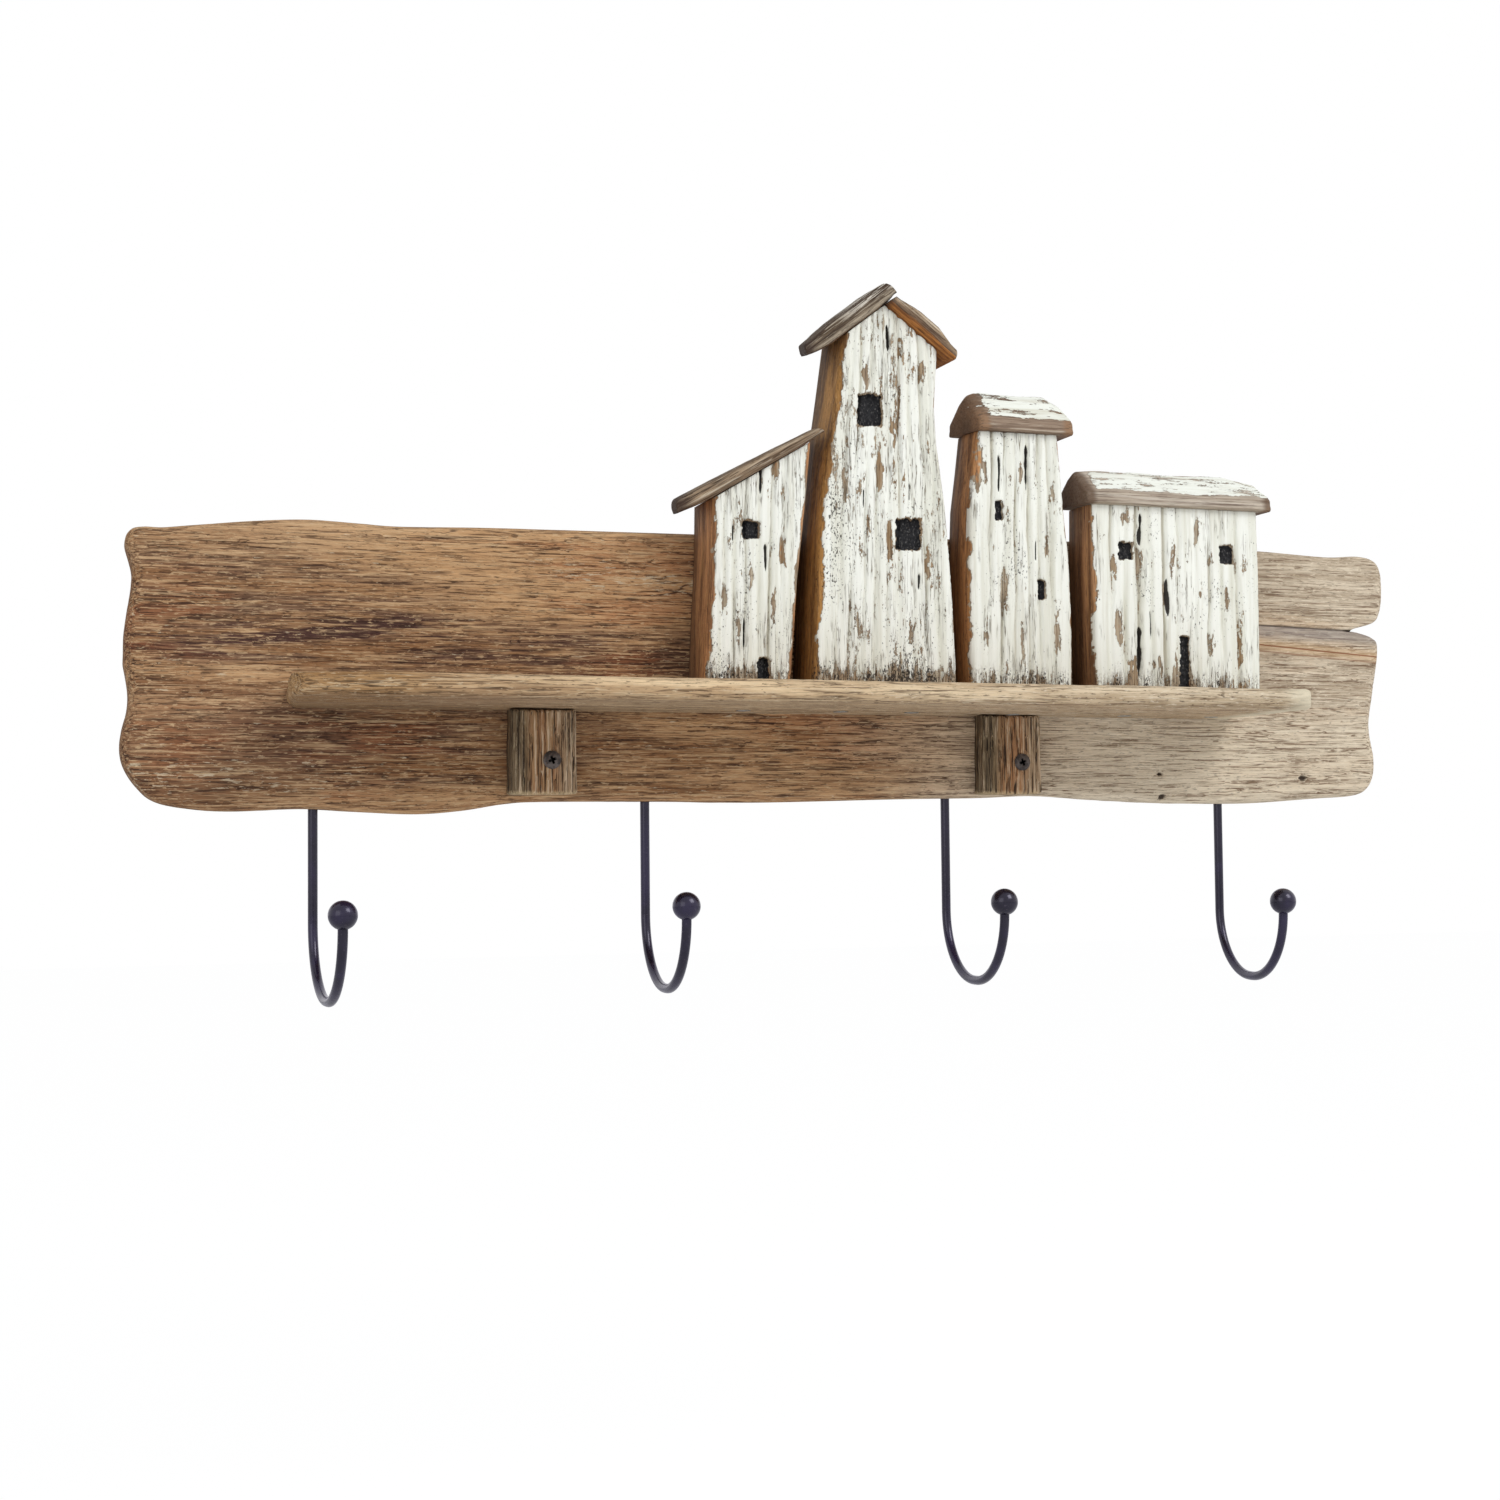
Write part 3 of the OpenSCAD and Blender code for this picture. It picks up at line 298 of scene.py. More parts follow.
def make_board():
    """Board: its front is a patch between the four edges, sunk by a quarter ellipse in each worn edge.

    Rings then carry the rim back and in to a flat back, which is cut open for screws and plates. A
    ring moves in by no more than the rim's radius there, which is the step cubed over the turn."""
    u, v = (edge_steps(span, BOARD_WEAR, step, 7) for span, step in zip(BOARD_SPAN, (1.13, 1.02)))
    edges = (spread(edge, shares) for edge, shares in zip(board_edges(), (u, u, v, v)))
    face = patch(*edges, u, v)
    rows, columns = len(u), len(v)
    x, z = np.minimum(face[..., 0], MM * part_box("back_board")[1][0]), face[..., 1]
    length = x[-1:, :] - x[:1, :]
    height = z[:, -1:] - z[:, :1]
    mouth = BOARD_WEAR - 4.7 * np.exp(-((z[-1:, :] - 30) / 7) ** 4)  # sharper edge at the split
    uu, vv = u[:, None], v[None, :]
    lift = (worn(uu * length, BOARD_WEAR) * worn((1 - uu) * length, mouth)
            * worn(vv * height, BOARD_WEAR) * worn((1 - vv) * height, BOARD_WEAR))
    sink = board_relief(x, z)
    y = -(BOARD_T - BOARD_CROWN + BOARD_CROWN * lift) + sink * (0.25 + 0.75 * lift)
    points = [np.stack([x, y, z], -1).reshape(-1, 3)]
    fields = [sink.ravel()]
    quads = [grid_faces(rows, columns)]
    last = rim_of(rows, columns)
    ring = points[0][last]
    along = np.roll(ring, -1, 0) - np.roll(ring, 1, 0)
    turn = np.roll(ring, -1, 0) - ring
    before = ring - np.roll(ring, 1, 0)
    cross = np.abs(before[:, 0] * turn[:, 2] - before[:, 2] * turn[:, 0])
    radius = np.linalg.norm(turn, axis=1) ** 3 / np.maximum(cross, 1e-4)
    radius = np.min([np.roll(radius, k) for k in range(-6, 7)], 0)
    inward = np.stack([-along[:, 2], along[:, 0]], -1)
    inward /= np.linalg.norm(inward, axis=1)[:, None]
    if np.sum(inward * (ring[:, [0, 2]] - ring[:, [0, 2]].mean(0))) > 0:
        inward = -inward
    count = len(points[0])
    for depth, inset in ((9.5, 0.0), (6.5, 0.0), (3.5, 0.0), (1.6, 0.7), (0.5, 2.0), (0.0, 3.5)):
        rough = 0.25 * (clouds(ring[:, 0] / 9, ring[:, 2] / 9, depth / 2.5, seed=12) + 1) * (depth > 0)
        layer = ring.copy()
        layer[:, [0, 2]] += inward * np.minimum(inset + rough, 0.7 * radius)[:, None]
        layer[:, 1] = -depth
        points.append(layer)
        fields.append(rough * 2)
        number = np.arange(len(layer)) + count
        quads.append(band_faces(last, number))
        last, count = number, count + len(layer)
    # holes in the back: round ones for the shelf's screws, and a long recess for each plate
    angle = np.linspace(0, 2 * math.pi, 48, endpoint=False)
    circle = np.stack([np.cos(angle), np.sin(angle)], -1)
    holes = [SCREW_HOLE_R * circle + screw for screw in SHELF_SCREWS]
    long_hole = RECESS_R * circle
    long_hole[:, 1] += RECESS_HALF * np.sign(np.sin(angle + 1e-6))
    holes += [long_hole + (side * HANGER_X, HANGER_Z) for side in (-1, 1)]
    depths = [SCREW_HOLE_DEEP] * len(SHELF_SCREWS) + [RECESS_DEEP] * 2
    loops = [points[-1][:, [0, 2]]] + holes
    numbers = [last]
    for hole, deep in zip(holes, depths):
        for depth in (0.0, deep):
            points.append(np.stack([hole[:, 0], np.full(len(hole), -depth), hole[:, 1]], -1))
            fields.append(np.zeros(len(hole)))
        number = np.arange(2 * len(hole)) + count
        numbers.append(number[:len(hole)])
        quads.append(band_faces(number[:len(hole)], number[len(hole):]))
        count += 2 * len(hole)
    triangles = [np.concatenate(numbers)[flat_faces(loops, holes)]]
    # floors of the screw holes and of the recesses, the latter with a pocket behind the keyhole
    for k, hole in enumerate(holes):
        number = numbers[k + 1] + len(hole)
        if k < len(SHELF_SCREWS):
            triangles.append(number[flat_faces([hole], [])])
            continue
        pocket = np.array(POCKET) + hole.mean(0)
        for depth in (RECESS_DEEP, POCKET_DEEP):
            points.append(np.stack([pocket[:, 0], np.full(4, -depth), pocket[:, 1]], -1))
            fields.append(np.zeros(4))
        edge = np.arange(8) + count
        count += 8
        triangles.append(np.concatenate([number, edge[:4]])[flat_faces([hole, pocket], [pocket])])
        quads += [band_faces(edge[:4], edge[4:]), edge[None, 4:]]
    points = np.concatenate(points)
    faces = match_turns(points, np.concatenate(quads), np.concatenate(triangles))
    return points, *faces, {"sink": np.concatenate(fields)}


def tint(red, green, blue):
    """Colour as a screen shows it, from 0 to 255, turned into light by the usual screen curve."""
    parts = [c / 255 for c in (red, green, blue)]
    return tuple(c / 12.92 if c <= 0.04045 else ((c + 0.055) / 1.055) ** 2.4 for c in parts) + (1.0,)


class Value:
    """A number or colour in a material's maths; adding, multiplying and the like put in a Math node."""

    def __init__(self, nodes, socket):
        self.nodes = nodes
        self.socket = socket

    def math(self, operation, *others):
        return self.nodes.math(operation, self, *others)

    def __add__(self, other): return self.math("ADD", other)
    def __mul__(self, other): return self.math("MULTIPLY", other)
    def __sub__(self, other): return self.math("SUBTRACT", other)
    def __rsub__(self, other): return self.nodes.math("SUBTRACT", other, self)
    def __truediv__(self, other): return self.math("DIVIDE", other)
    def __pow__(self, other): return self.math("POWER", other)
    def __abs__(self): return self.math("ABSOLUTE")
    __radd__ = __add__
    __rmul__ = __mul__

    def step(self, low, high):
        """Smooth step from 0 at low to 1 at high."""
        return self.nodes.add("ShaderNodeMapRange", {"interpolation_type": "SMOOTHSTEP"},
                              {"Value": self, "From Min": low, "From Max": high})


class Nodes:
    """A node tree, and the ways to put nodes in it."""

    def __init__(self, tree):
        self.tree = tree

    def add(self, kind, settings, sockets, out=0):
        """A node of that kind: settings first, then sockets given values or links; its output comes back."""
        node = self.tree.nodes.new(kind)
        for key, value in settings.items():
            setattr(node, key, value)
        for key, value in sockets.items():
            if isinstance(value, Value):
                self.tree.links.new(value.socket, node.inputs[key])
            else:
                node.inputs[key].default_value = value
        return Value(self, node.outputs[out]) if node.outputs else None

    def math(self, operation, *terms):
        """A Math node over the terms, in order."""
        return self.add("ShaderNodeMath", {"operation": operation}, dict(enumerate(terms)))

    def mix(self, first, second, share):
        """Two colours mixed by a share."""
        return self.add("ShaderNodeMix", {"data_type": "RGBA"}, {0: share, 6: first, 7: second}, 2)


class Finish(Nodes):
    """A material with one Principled shader, and short ways to put nodes before it."""

    def __init__(self, name, **constants):
        self.material = bpy.data.materials.new(name)
        self.material.use_nodes = True
        super().__init__(self.material.node_tree)
        self.shader = next(n for n in self.tree.nodes if n.type == "BSDF_PRINCIPLED")
        for socket, value in constants.items():
            self.shader.inputs[socket.replace("_", " ")].default_value = value
        self.place = self.add("ShaderNodeTexCoord", {}, {}, "Object")

    def noise(self, per_metre, detail=3.0, rough=0.55, seed=0.0, bend=0.0):
        """Noise from about 0 to 1 with that many cells per metre along each axis."""
        moved = self.add("ShaderNodeMapping", {}, {
            "Vector": self.place, "Scale": per_metre, "Location": (seed * 1.7, seed * 3.1, seed * 2.3)})
        return self.add("ShaderNodeTexNoise", {}, {
            "Vector": moved, "Scale": 1.0, "Detail": detail, "Roughness": rough, "Distortion": bend})

    def field(self, name):
        """A number that the mesh carries at its points."""
        return self.add("ShaderNodeAttribute", {"attribute_name": name}, {}, "Fac")

    def axis(self, name):
        """Place along X, Y or Z in metres."""
        return self.add("ShaderNodeSeparateXYZ", {}, {0: self.place}, name)

    def layers(self, base, noises, *layers):
        """Colours laid over a base in turn, each where a noise passes from one level to another:
        the noise's name, the two levels, the most that is laid, and the colour."""
        for name, low, high, most, colour in layers:
            base = self.mix(base, colour, noises[name].step(low, high) * most)
        return base

    def use(self, colour, roughness=None, height=None, bump=0.001, strength=1.0):
        """Leads colour, roughness and a height in metres to the shader."""
        ends = {"Base Color": colour}
        if roughness is not None:
            ends["Roughness"] = roughness
        if height is not None:
            ends["Normal"] = self.add("ShaderNodeBump", {}, {"Height": height, "Distance": bump, "Strength": strength})
        for socket, value in ends.items():
            self.tree.links.new(value.socket, self.shader.inputs[socket])
        return self.material


def wood_noise(finish, lengthways, across=1.0, bend=0.0, seed=0.0):
    """Bands, lines, streaks, fibres and flecks of wood whose grain runs along one axis (0, 1 or 2)."""

    def cells(along, other):
        return tuple(along if k == lengthways else other / across for k in range(3))
    return {
        "patch": finish.noise(cells(7, 22), 2.0, 0.5, seed + 1.0),
        "band": finish.noise(cells(9, 130), 4.0, 0.62, seed + 2.0, bend),
        "line": abs(finish.noise(cells(9, 150), 3.0, 0.6, seed + 6.0, bend) - 0.5),
        "streak": finish.noise(cells(27, 760), 4.0, 0.68, seed + 3.0, bend),
        "fibre": finish.noise(cells(55, 1400), 3.0, 0.7, seed + 4.0),
        "fleck": finish.noise(cells(230, 1100), 3.0, 0.6, seed + 5.0),
    }


def board_finish():
    """Driftwood of the board: warm brown on the left with dark purplish bands, grey-tan on the right."""
    f = Finish("driftwood", Roughness=0.85, Specular_IOR_Level=0.2)
    n = wood_noise(f, 0, bend=0.5)
    x, z = f.axis("X"), f.axis("Z")
    wander = (n["patch"] - 0.5) * 0.12 + (n["band"] - 0.5) * 0.05

    def zone(cx, cz, wide, high):
        """Soft patch, 1 at its middle and 0 at its ragged rim."""
        out = ((x + wander - cx) / wide) ** 2.0 + ((z + wander * 0.16 - cz) / high) ** 2.0
        return out.step(1.0, 0.15)

    right = (x + wander).step(0.0, 0.17)
    warm = f.mix(tint(150, 108, 72), tint(212, 168, 122), n["band"].step(0.36, 0.64))
    warm = f.mix(warm, tint(212, 170, 124), zone(-0.08, 0.055, 0.24, 0.060) * 0.65)
    pale = f.mix(tint(186, 168, 144), tint(214, 198, 174), n["band"].step(0.36, 0.64))
    base = f.mix(warm, pale, right)
    base = f.mix(base, tint(208, 172, 132), zone(-0.27, 0.068, 0.10, 0.026) * 0.45)
    # darker, purplish zones: in from the left end, along the bottom, and behind the shelf; the one behind the shelf is
    # also painted shade where the shelf meets the board
    first = zone(-0.31, 0.028, 0.15, 0.030)
    lower = z.step(-0.016, -0.030) * (1 - right)
    # purplish bands with painted shade: darker just above and behind the shelf, where it meets the board
    behind = zone(-0.14, 0.008, 0.22, 0.018)
    reddish = zone(-0.20, -0.033, 0.13, 0.026)
    gloom = first * 0.70 + lower * 0.10 + reddish * 0.62 + behind * 0.85 + 0.06
    gloom = gloom * (n["band"] + (n["streak"] - 0.5) * 0.6).step(0.36, 0.60)
    base = f.mix(base, tint(84, 57, 50), gloom * (1 - right * 0.8))
    base = f.mix(base, tint(104, 72, 56), zone(-0.30, -0.036, 0.12, 0.036) * 0.5)
    ruddy = (n["patch"] + (n["band"] - 0.5) * 0.7).step(0.52, 0.66)
    base = f.mix(base, f.mix(tint(158, 98, 60), tint(200, 164, 126), right), ruddy * (0.55 - right * 0.15))
    # painted light: the board under the shelf on the right is lightened to offset the shelf's shadow
    base = f.mix(base, tint(226, 211, 186), right * z.step(-0.008, -0.028) * 0.68)
    # fine grain: dark and pale lines, and thin ones that follow the bands
    dark = f.mix(tint(62, 41, 31), tint(116, 92, 70), right)
    light = f.mix(tint(210, 178, 138), tint(232, 218, 194), right)
    base = f.mix(base, dark, n["line"].step(0.018, 0.003) * n["patch"].step(0.36, 0.54) * 0.85)
    base = f.layers(
        base, n, ("streak", 0.46, 0.36, 0.60, light), ("streak", 0.53, 0.63, 0.72, dark),
        ("fibre", 0.43, 0.35, 0.65, light), ("fibre", 0.54, 0.63, 0.7, dark),
        ("fleck", 0.40, 0.31, 0.7 - right * 0.25, tint(52, 36, 28)), ("fleck", 0.59, 0.67, 0.68, light))
    # pale chipped flecks: ragged crumbs in a line above the shelf and dashes near the lower left corner
    crumb = f.noise((95, 640, 640), 4.0, 0.72, 31.0)
    row = abs(z + x * 0.05 - 0.0395).step(0.010, 0.0) * x.step(-0.17, -0.11) * x.step(0.03, -0.04)
    corner = zone(-0.28, -0.050, 0.09, 0.012)
    base = f.mix(base, tint(214, 196, 166), (crumb + row * 0.11 + corner * 0.075).step(0.645, 0.685) * 0.7)
    # the split runs on as a dark line with a weathered grey band under it, and reddish lines lie below
    split = z + x * 0.03 - 0.03827 + (n["band"] - 0.5) * 0.0016
    near = x.step(0.19, 0.25)
    weathered = split.step(-0.0095, -0.003) * split.step(0.0006, -0.0004)
    base = f.mix(base, tint(160, 151, 145), weathered * near * 0.6)
    base = f.mix(base, tint(74, 64, 58), abs(split).step(0.0008, 0.0002) * near * 0.8)
    vein = z + x * 0.0676 - 0.03723 + (n["band"] - 0.5) * 0.0010
    base = f.mix(base, tint(212, 176, 134), abs(vein).step(0.0045, 0.001) * near * 0.5)
    veins = abs(vein).step(0.0006, 0.0002) + abs(vein + 0.0032).step(0.0006, 0.0001) * 0.6
    base = f.mix(base, tint(134, 84, 54), veins * near * 0.85)
    # the hollows, and the edge that turns away
    base = f.mix(base, tint(46, 32, 26), f.field("sink").step(1.25, 2.6) * 0.92)
    base = f.mix(base, tint(96, 70, 52), f.axis("Y").step(-0.0160, -0.0105) * (1 - right * 0.8) * 0.4)
    height = n["fibre"] * 0.4 + n["fleck"] * 0.2 - n["streak"] * 0.8
    return f.use(base, None, height, 0.0012, 0.9)


place(solid("driftwood_board", *make_board()), board_finish(), "back_board")

# Shelf: a thin driftwood board, screwed to the back board from behind. Its long front edge and its
# ends are worn round, its grain runs lengthways, and it pales to cream at the right end.
SHELF_LEFT, SHELF_RIGHT = -261.5, 231.5
FACE_Y = -BOARD_T
SHELF_FRONT = FACE_Y - 76.6
SHELF_DEEP = 76  # whole millimetres of that, for the steps of its grid
SHELF_TOP = -8.0
SHELF_T = 10.9
SHELF_UNDER = SHELF_TOP - SHELF_T
SHELF_WEAR = 5.0
SHELF_LIP = 0.4  # half the height of the wall between the shelf's two sheets
SHELF_NOSE = [
    [SHELF_LEFT + 4.5, FACE_Y - 32], [SHELF_LEFT + 2.5, SHELF_FRONT + 25], [SHELF_LEFT, SHELF_FRONT + 12],
    [SHELF_LEFT + 3, SHELF_FRONT + 4], [SHELF_LEFT + 12, SHELF_FRONT + 0.6],
    [SHELF_LEFT + 70, SHELF_FRONT], [-110, SHELF_FRONT + 0.9], [-40, SHELF_FRONT],
    [40, SHELF_FRONT + 0.8], [110, SHELF_FRONT - 0.1], [SHELF_RIGHT - 50, SHELF_FRONT + 0.9],
    [SHELF_RIGHT - 9, SHELF_FRONT + 0.5], [SHELF_RIGHT - 2, SHELF_FRONT + 4],
    [SHELF_RIGHT, SHELF_FRONT + 12], [SHELF_RIGHT - 0.5, SHELF_FRONT + 26], [SHELF_RIGHT + 0.4, FACE_Y - 32],
]


def slab(edges, steps, up, down, wear, straight_back=False):
    """Closed slab over four edge curves: two sheets on the same grid, joined by a thin wall.

    Each sheet leaves the wall by a quarter ellipse in its worn edge; up and down give the sheets'
    heights from the plane coordinates and that share. A straight back, the first edge, isn't worn."""
    bottom, top, left, right = edges
    u, v = steps
    face = patch(spread(bottom, u), spread(top, u), spread(left, v), spread(right, v), u, v)
    a, b = face[..., 0], face[..., 1]
    uu, vv = u[:, None], v[None, :]
    length = np.linalg.norm(face[-1:] - face[:1], axis=-1)
    height = np.linalg.norm(face[:, -1:] - face[:, :1], axis=-1)
    lift = worn(uu * length, wear) * worn((1 - uu) * length, wear) * worn((1 - vv) * height, wear)
    if not straight_back:
        lift = lift * worn(vv * height, wear)
    rows, columns = len(u), len(v)
    over = np.stack([a, b, up(a, b, lift)], -1).reshape(-1, 3)
    under = np.stack([a, b, down(a, b, lift)], -1).reshape(-1, 3)
    quads = np.concatenate([
        grid_faces(rows, columns), grid_faces(rows, columns, rows * columns)[:, ::-1],
        band_faces(rim_of(rows, columns), rim_of(rows, columns, rows * columns))[:, ::-1]])
    return np.concatenate([over, under]), quads


def shelf_relief(x, y, seed):
    """Depth of the shelf's hollows in millimetres: slow dips, ridges along the grain and pores."""
    g = y + 3 * cloud(x / 90, y / 40, seed=seed)
    return (0.3 * (clouds(x / 50, y / 18, seed=seed + 1, layers=2) + 0.7)
            + 0.26 * (clouds(x / 70, g / 3.0, seed=seed + 2, layers=3, gain=0.65) + 0.7)
            + 0.4 * rise(cloud(x / 6, g / 1.1, seed=seed + 3), 0.55, 0.85))


def make_shelf():
    """Shelf: a worn slab whose back edge is straight and lies against the board."""
    nose = curve(SHELF_NOSE, np.linspace(0, 1, 2400))
    left_end = np.array([
        [SHELF_LEFT + 7.6, FACE_Y], [SHELF_LEFT + 6, FACE_Y - 14], [SHELF_LEFT + 4.5, FACE_Y - 32]])
    right_end = np.array([
        [SHELF_RIGHT + 0.4, FACE_Y], [SHELF_RIGHT + 1, FACE_Y - 14], [SHELF_RIGHT + 0.4, FACE_Y - 32]])
    corner_a, corner_b = (
        int(np.argmin(np.hypot(nose[:, 0] - x, nose[:, 1] - SHELF_FRONT - 4)))
        for x in (SHELF_LEFT + 3, SHELF_RIGHT - 2))
    back = np.array([left_end[0], right_end[0]])
    left = np.concatenate([left_end, nose[1:corner_a + 1]])
    right = np.concatenate([right_end, nose[corner_b:-1][::-1]])
    front = nose[corner_a:corner_b + 1]
    u = edge_steps(SHELF_RIGHT - SHELF_LEFT, SHELF_WEAR, 1.15, 7)
    v = edge_steps(SHELF_DEEP, SHELF_WEAR, 1.0, 7)
    v = v[(v == 0) | (v > 0.012)]  # no fine steps at the back, which isn't worn
    middle = SHELF_UNDER + SHELF_T * 0.49
    over, under = middle + SHELF_LIP, middle - SHELF_LIP

    def up(x, y, lift):
        return over + lift * (SHELF_TOP - over - shelf_relief(x, y, 20) * rise(-y, 18, 24))

    def down(x, y, lift):
        return under - lift * (under - SHELF_UNDER - shelf_relief(x, y, 30) * rise(-y, 18, 24))

    points, quads = slab((back, front, left, right), (u, v), up, down, SHELF_WEAR, True)
    dips = 0.3 * clouds(points[:, 0] / 14, points[:, 2] / 2.4, points[:, 1] / 14, seed=40)
    points[:, 1] = np.minimum(points[:, 1] + (dips + 0.3) * rise(-points[:, 1], 60, 90), FACE_Y)
    return points, quads


def shelf_finish():
    """Driftwood of the shelf: grey-brown, yellow-brown at the left end and cream at the right end."""
    f = Finish("shelf_wood", Roughness=0.82, Specular_IOR_Level=0.22)
    n = wood_noise(f, 0, bend=0.4, seed=20)
    x = f.axis("X")
    right = (x + (n["patch"] - 0.5) * 0.1).step(-0.12, 0.2)
    bands = n["band"].step(0.38, 0.62)
    base = f.mix(tint(194, 162, 124), tint(236, 208, 167), bands)
    base = f.mix(base, f.mix(tint(142, 108, 76), tint(190, 154, 114), bands), x.step(-0.09, -0.20) * 0.8)
    base = f.mix(base, f.mix(tint(176, 156, 128), tint(214, 197, 170), bands), right * 0.9)
    base = f.mix(base, tint(162, 118, 62), x.step(-0.185, -0.226) * n["patch"].step(0.40, 0.54) * 0.5)
    # painted shade: the underside and the lowest strip of the front edge are darker, broken up by the wood's bands
    under = f.axis("Z").step(-0.0155, -0.0185)
    under = under * n["band"].step(0.34, 0.6)
    base = f.mix(base, f.mix(tint(122, 94, 68), tint(178, 144, 106), right), under * 0.75)
    dark = f.mix(tint(70, 52, 38), tint(108, 86, 62), right)
    light = f.mix(tint(214, 192, 158), tint(234, 222, 200), right)
    base = f.mix(base, dark, n["line"].step(0.018, 0.004) * n["patch"].step(0.36, 0.56) * 0.7)
    base = f.layers(
        base, n, ("streak", 0.46, 0.36, 0.5, light), ("streak", 0.54, 0.63, 0.72, dark),
        ("fibre", 0.55, 0.64, 0.65, dark), ("fleck", 0.60, 0.66, 0.6, light),
        ("fleck", 0.39, 0.32, 0.7, tint(64, 48, 36)))
    base = f.mix(base, tint(226, 216, 190), (x + (n["band"] - 0.5) * 0.02).step(0.208, 0.226) * 0.75)
    height = n["fibre"] * 0.35 + n["fleck"] * 0.3 - n["streak"] * 0.8
    return f.use(base, None, height, 0.0011, 0.9)


place(solid("driftwood_shelf", *make_shelf()), shelf_finish(), "shelf")

# Bracket blocks: two short offcuts of driftwood under the shelf, with their grain upright. Each is
# held by one dark cross-head wood screw, to the right of its middle.
BLOCK_T = 10.0
BLOCK_H = 39.0
BLOCK_WEAR = 1.8
BLOCK_RIM = 1.6  # how far the face stands over its worn rim
BLOCK_SCREW_Z = SHELF_UNDER - BLOCK_H / 2 - 3.6
BLOCK_SEAT = 3.0  # how deep the screw's head is let in
BLOCKS = {  # middle, width, place of the screw, and seed of the grain
    "left": (-138.5, 31.0, -134.9, 50), "right": (99.0, 32.0, 104.4, 60)}


def block_relief(x, z, seed):
    """Depth of the upright grain in a block's face: deep soft furrows between hard ridges."""
    g = x + 1.2 * cloud(z / 22, x / 14, seed=seed)
    return (0.42 * (clouds(g / 2.1, z / 34, seed=seed + 1, layers=3, gain=0.6) + 0.7)
            + 0.5 * rise(cloud(g / 0.9, z / 11, seed=seed + 2), 0.45, 0.8)
            + 0.3 * (clouds(x / 14, z / 18, seed=seed + 3, layers=2) + 0.7))


def make_block(middle, width, screw, seed):
    """Block: a worn slab on the board's face, dense enough to carry its furrows, let in for its screw."""
    a, b = width / 2, BLOCK_H / 2
    t = np.linspace(0, 1, 80)
    bottom = curve([[-a, -b + 2], [-a + 1.5, -b], [0, -b - 0.1], [a - 1.5, -b + 0.2], [a, -b + 2]], t)
    top = np.array([[-a + 0.4, b], [a - 0.4, b]])
    left = curve([[-a, -b + 2], [-a + 0.2, -b + 8], [-a, 0], [-a + 0.5, b - 6], [-a + 0.4, b]], t)
    right = curve([[a, -b + 2], [a - 0.2, -b + 8], [a - 0.2, 0], [a - 0.1, b - 6], [a - 0.4, b]], t)
    edges = [edge + (middle, SHELF_UNDER - b) for edge in (bottom, top, left, right)]
    steps = edge_steps(width, BLOCK_WEAR, 0.42, 5), edge_steps(BLOCK_H, BLOCK_WEAR, 0.5, 5)

    def face(x, z, lift):
        seat = BLOCK_SEAT * (1 - rise(np.hypot(x - screw, z - BLOCK_SCREW_Z), 3.5, 4.0))
        relief = block_relief(x, z, seed) * (0.3 + 0.7 * lift)
        return BLOCK_T - BLOCK_RIM + lift * BLOCK_RIM - np.maximum(relief, seat)

    points, quads = slab(edges, steps, face, lambda x, z, lift: np.zeros_like(x), BLOCK_WEAR)
    x, z, y = points.T
    sink = block_relief(x, z, seed) * (y > 2)
    return np.stack([x, FACE_Y - y, z], -1), quads, (), {"sink": sink}


def block_finish(middle, wide):
    """Upright grain of a block: near black furrows, orange-brown in the middle, greenish grey on the
    left and cream ridges on the right."""
    f = Finish("block_wood_%d" % (middle > 0), Roughness=0.85, Specular_IOR_Level=0.2)
    n = wood_noise(f, 2, 0.8, seed=40 + middle / 7)
    ridge = f.noise((820, 820, 24), 4.0, 0.7, 44.0 + middle / 9, 0.5)
    side = (f.axis("X") - middle / MM) / (wide / MM) + (n["band"] - 0.5) * 0.25
    base = f.mix(tint(124, 106, 82), tint(172, 126, 88), side.step(-0.30, -0.12))
    base = f.mix(base, tint(170, 142, 112), side.step(0.10, 0.30))
    base = f.mix(base, tint(178, 150, 112), n["band"].step(0.5, 0.66) * 0.5)
    base = f.mix(base, tint(226, 202, 172), (ridge + side * 0.09).step(0.54, 0.60) * 0.8)
    base = f.mix(base, tint(40, 28, 20), (ridge + side * 0.03).step(0.47, 0.41) * 0.88)
    base = f.layers(
        base, n, ("streak", 0.55, 0.61, 0.8, tint(34, 24, 18)), ("fibre", 0.42, 0.34, 0.5, tint(214, 196, 162)),
        ("fleck", 0.38, 0.31, 0.5, tint(48, 34, 26)))
    foot = (f.axis("Z") + (n["streak"] - 0.5) * 0.006).step(-0.0558, -0.0574)
    base = f.mix(base, tint(206, 182, 142), foot * 0.55)
    base = f.mix(base, tint(40, 29, 22), f.field("sink").step(0.85, 1.4) * 0.85)
    return f.use(base, None, ridge * 0.8 + n["fibre"] * 0.3 - n["streak"] * 0.5, 0.0013, 1.0)


for side, (middle, width, screw, seed) in BLOCKS.items():
    block = solid("bracket_block_piece_" + side, *make_block(middle, width, screw, seed))
    place(block, block_finish(middle, width), "bracket_block_" + side)

# Houses: four pieces of solid wood, carved on the front with upright gouge strokes like old boarding,
# stained brown, painted off-white on the front alone, and sanded so that the paint is chipped. The
# windows and doors are cut a little way in and burnt black. Screws hold the houses from below.
CORNER_R = 3.2
WINDOW_CUT = 2.6
PAINT_T = 0.32
HOUSE_STEP = 0.46


def side_at(side, z):
    """Place along a side at height z above the shelf, straight between the listed points."""
    side = np.asarray(side, float)
    last = side[-1] + (side[-1] - side[-2]) * 3
    full = np.concatenate([side, last[None]])
    return np.interp(z, full[:, 0], full[:, 1])


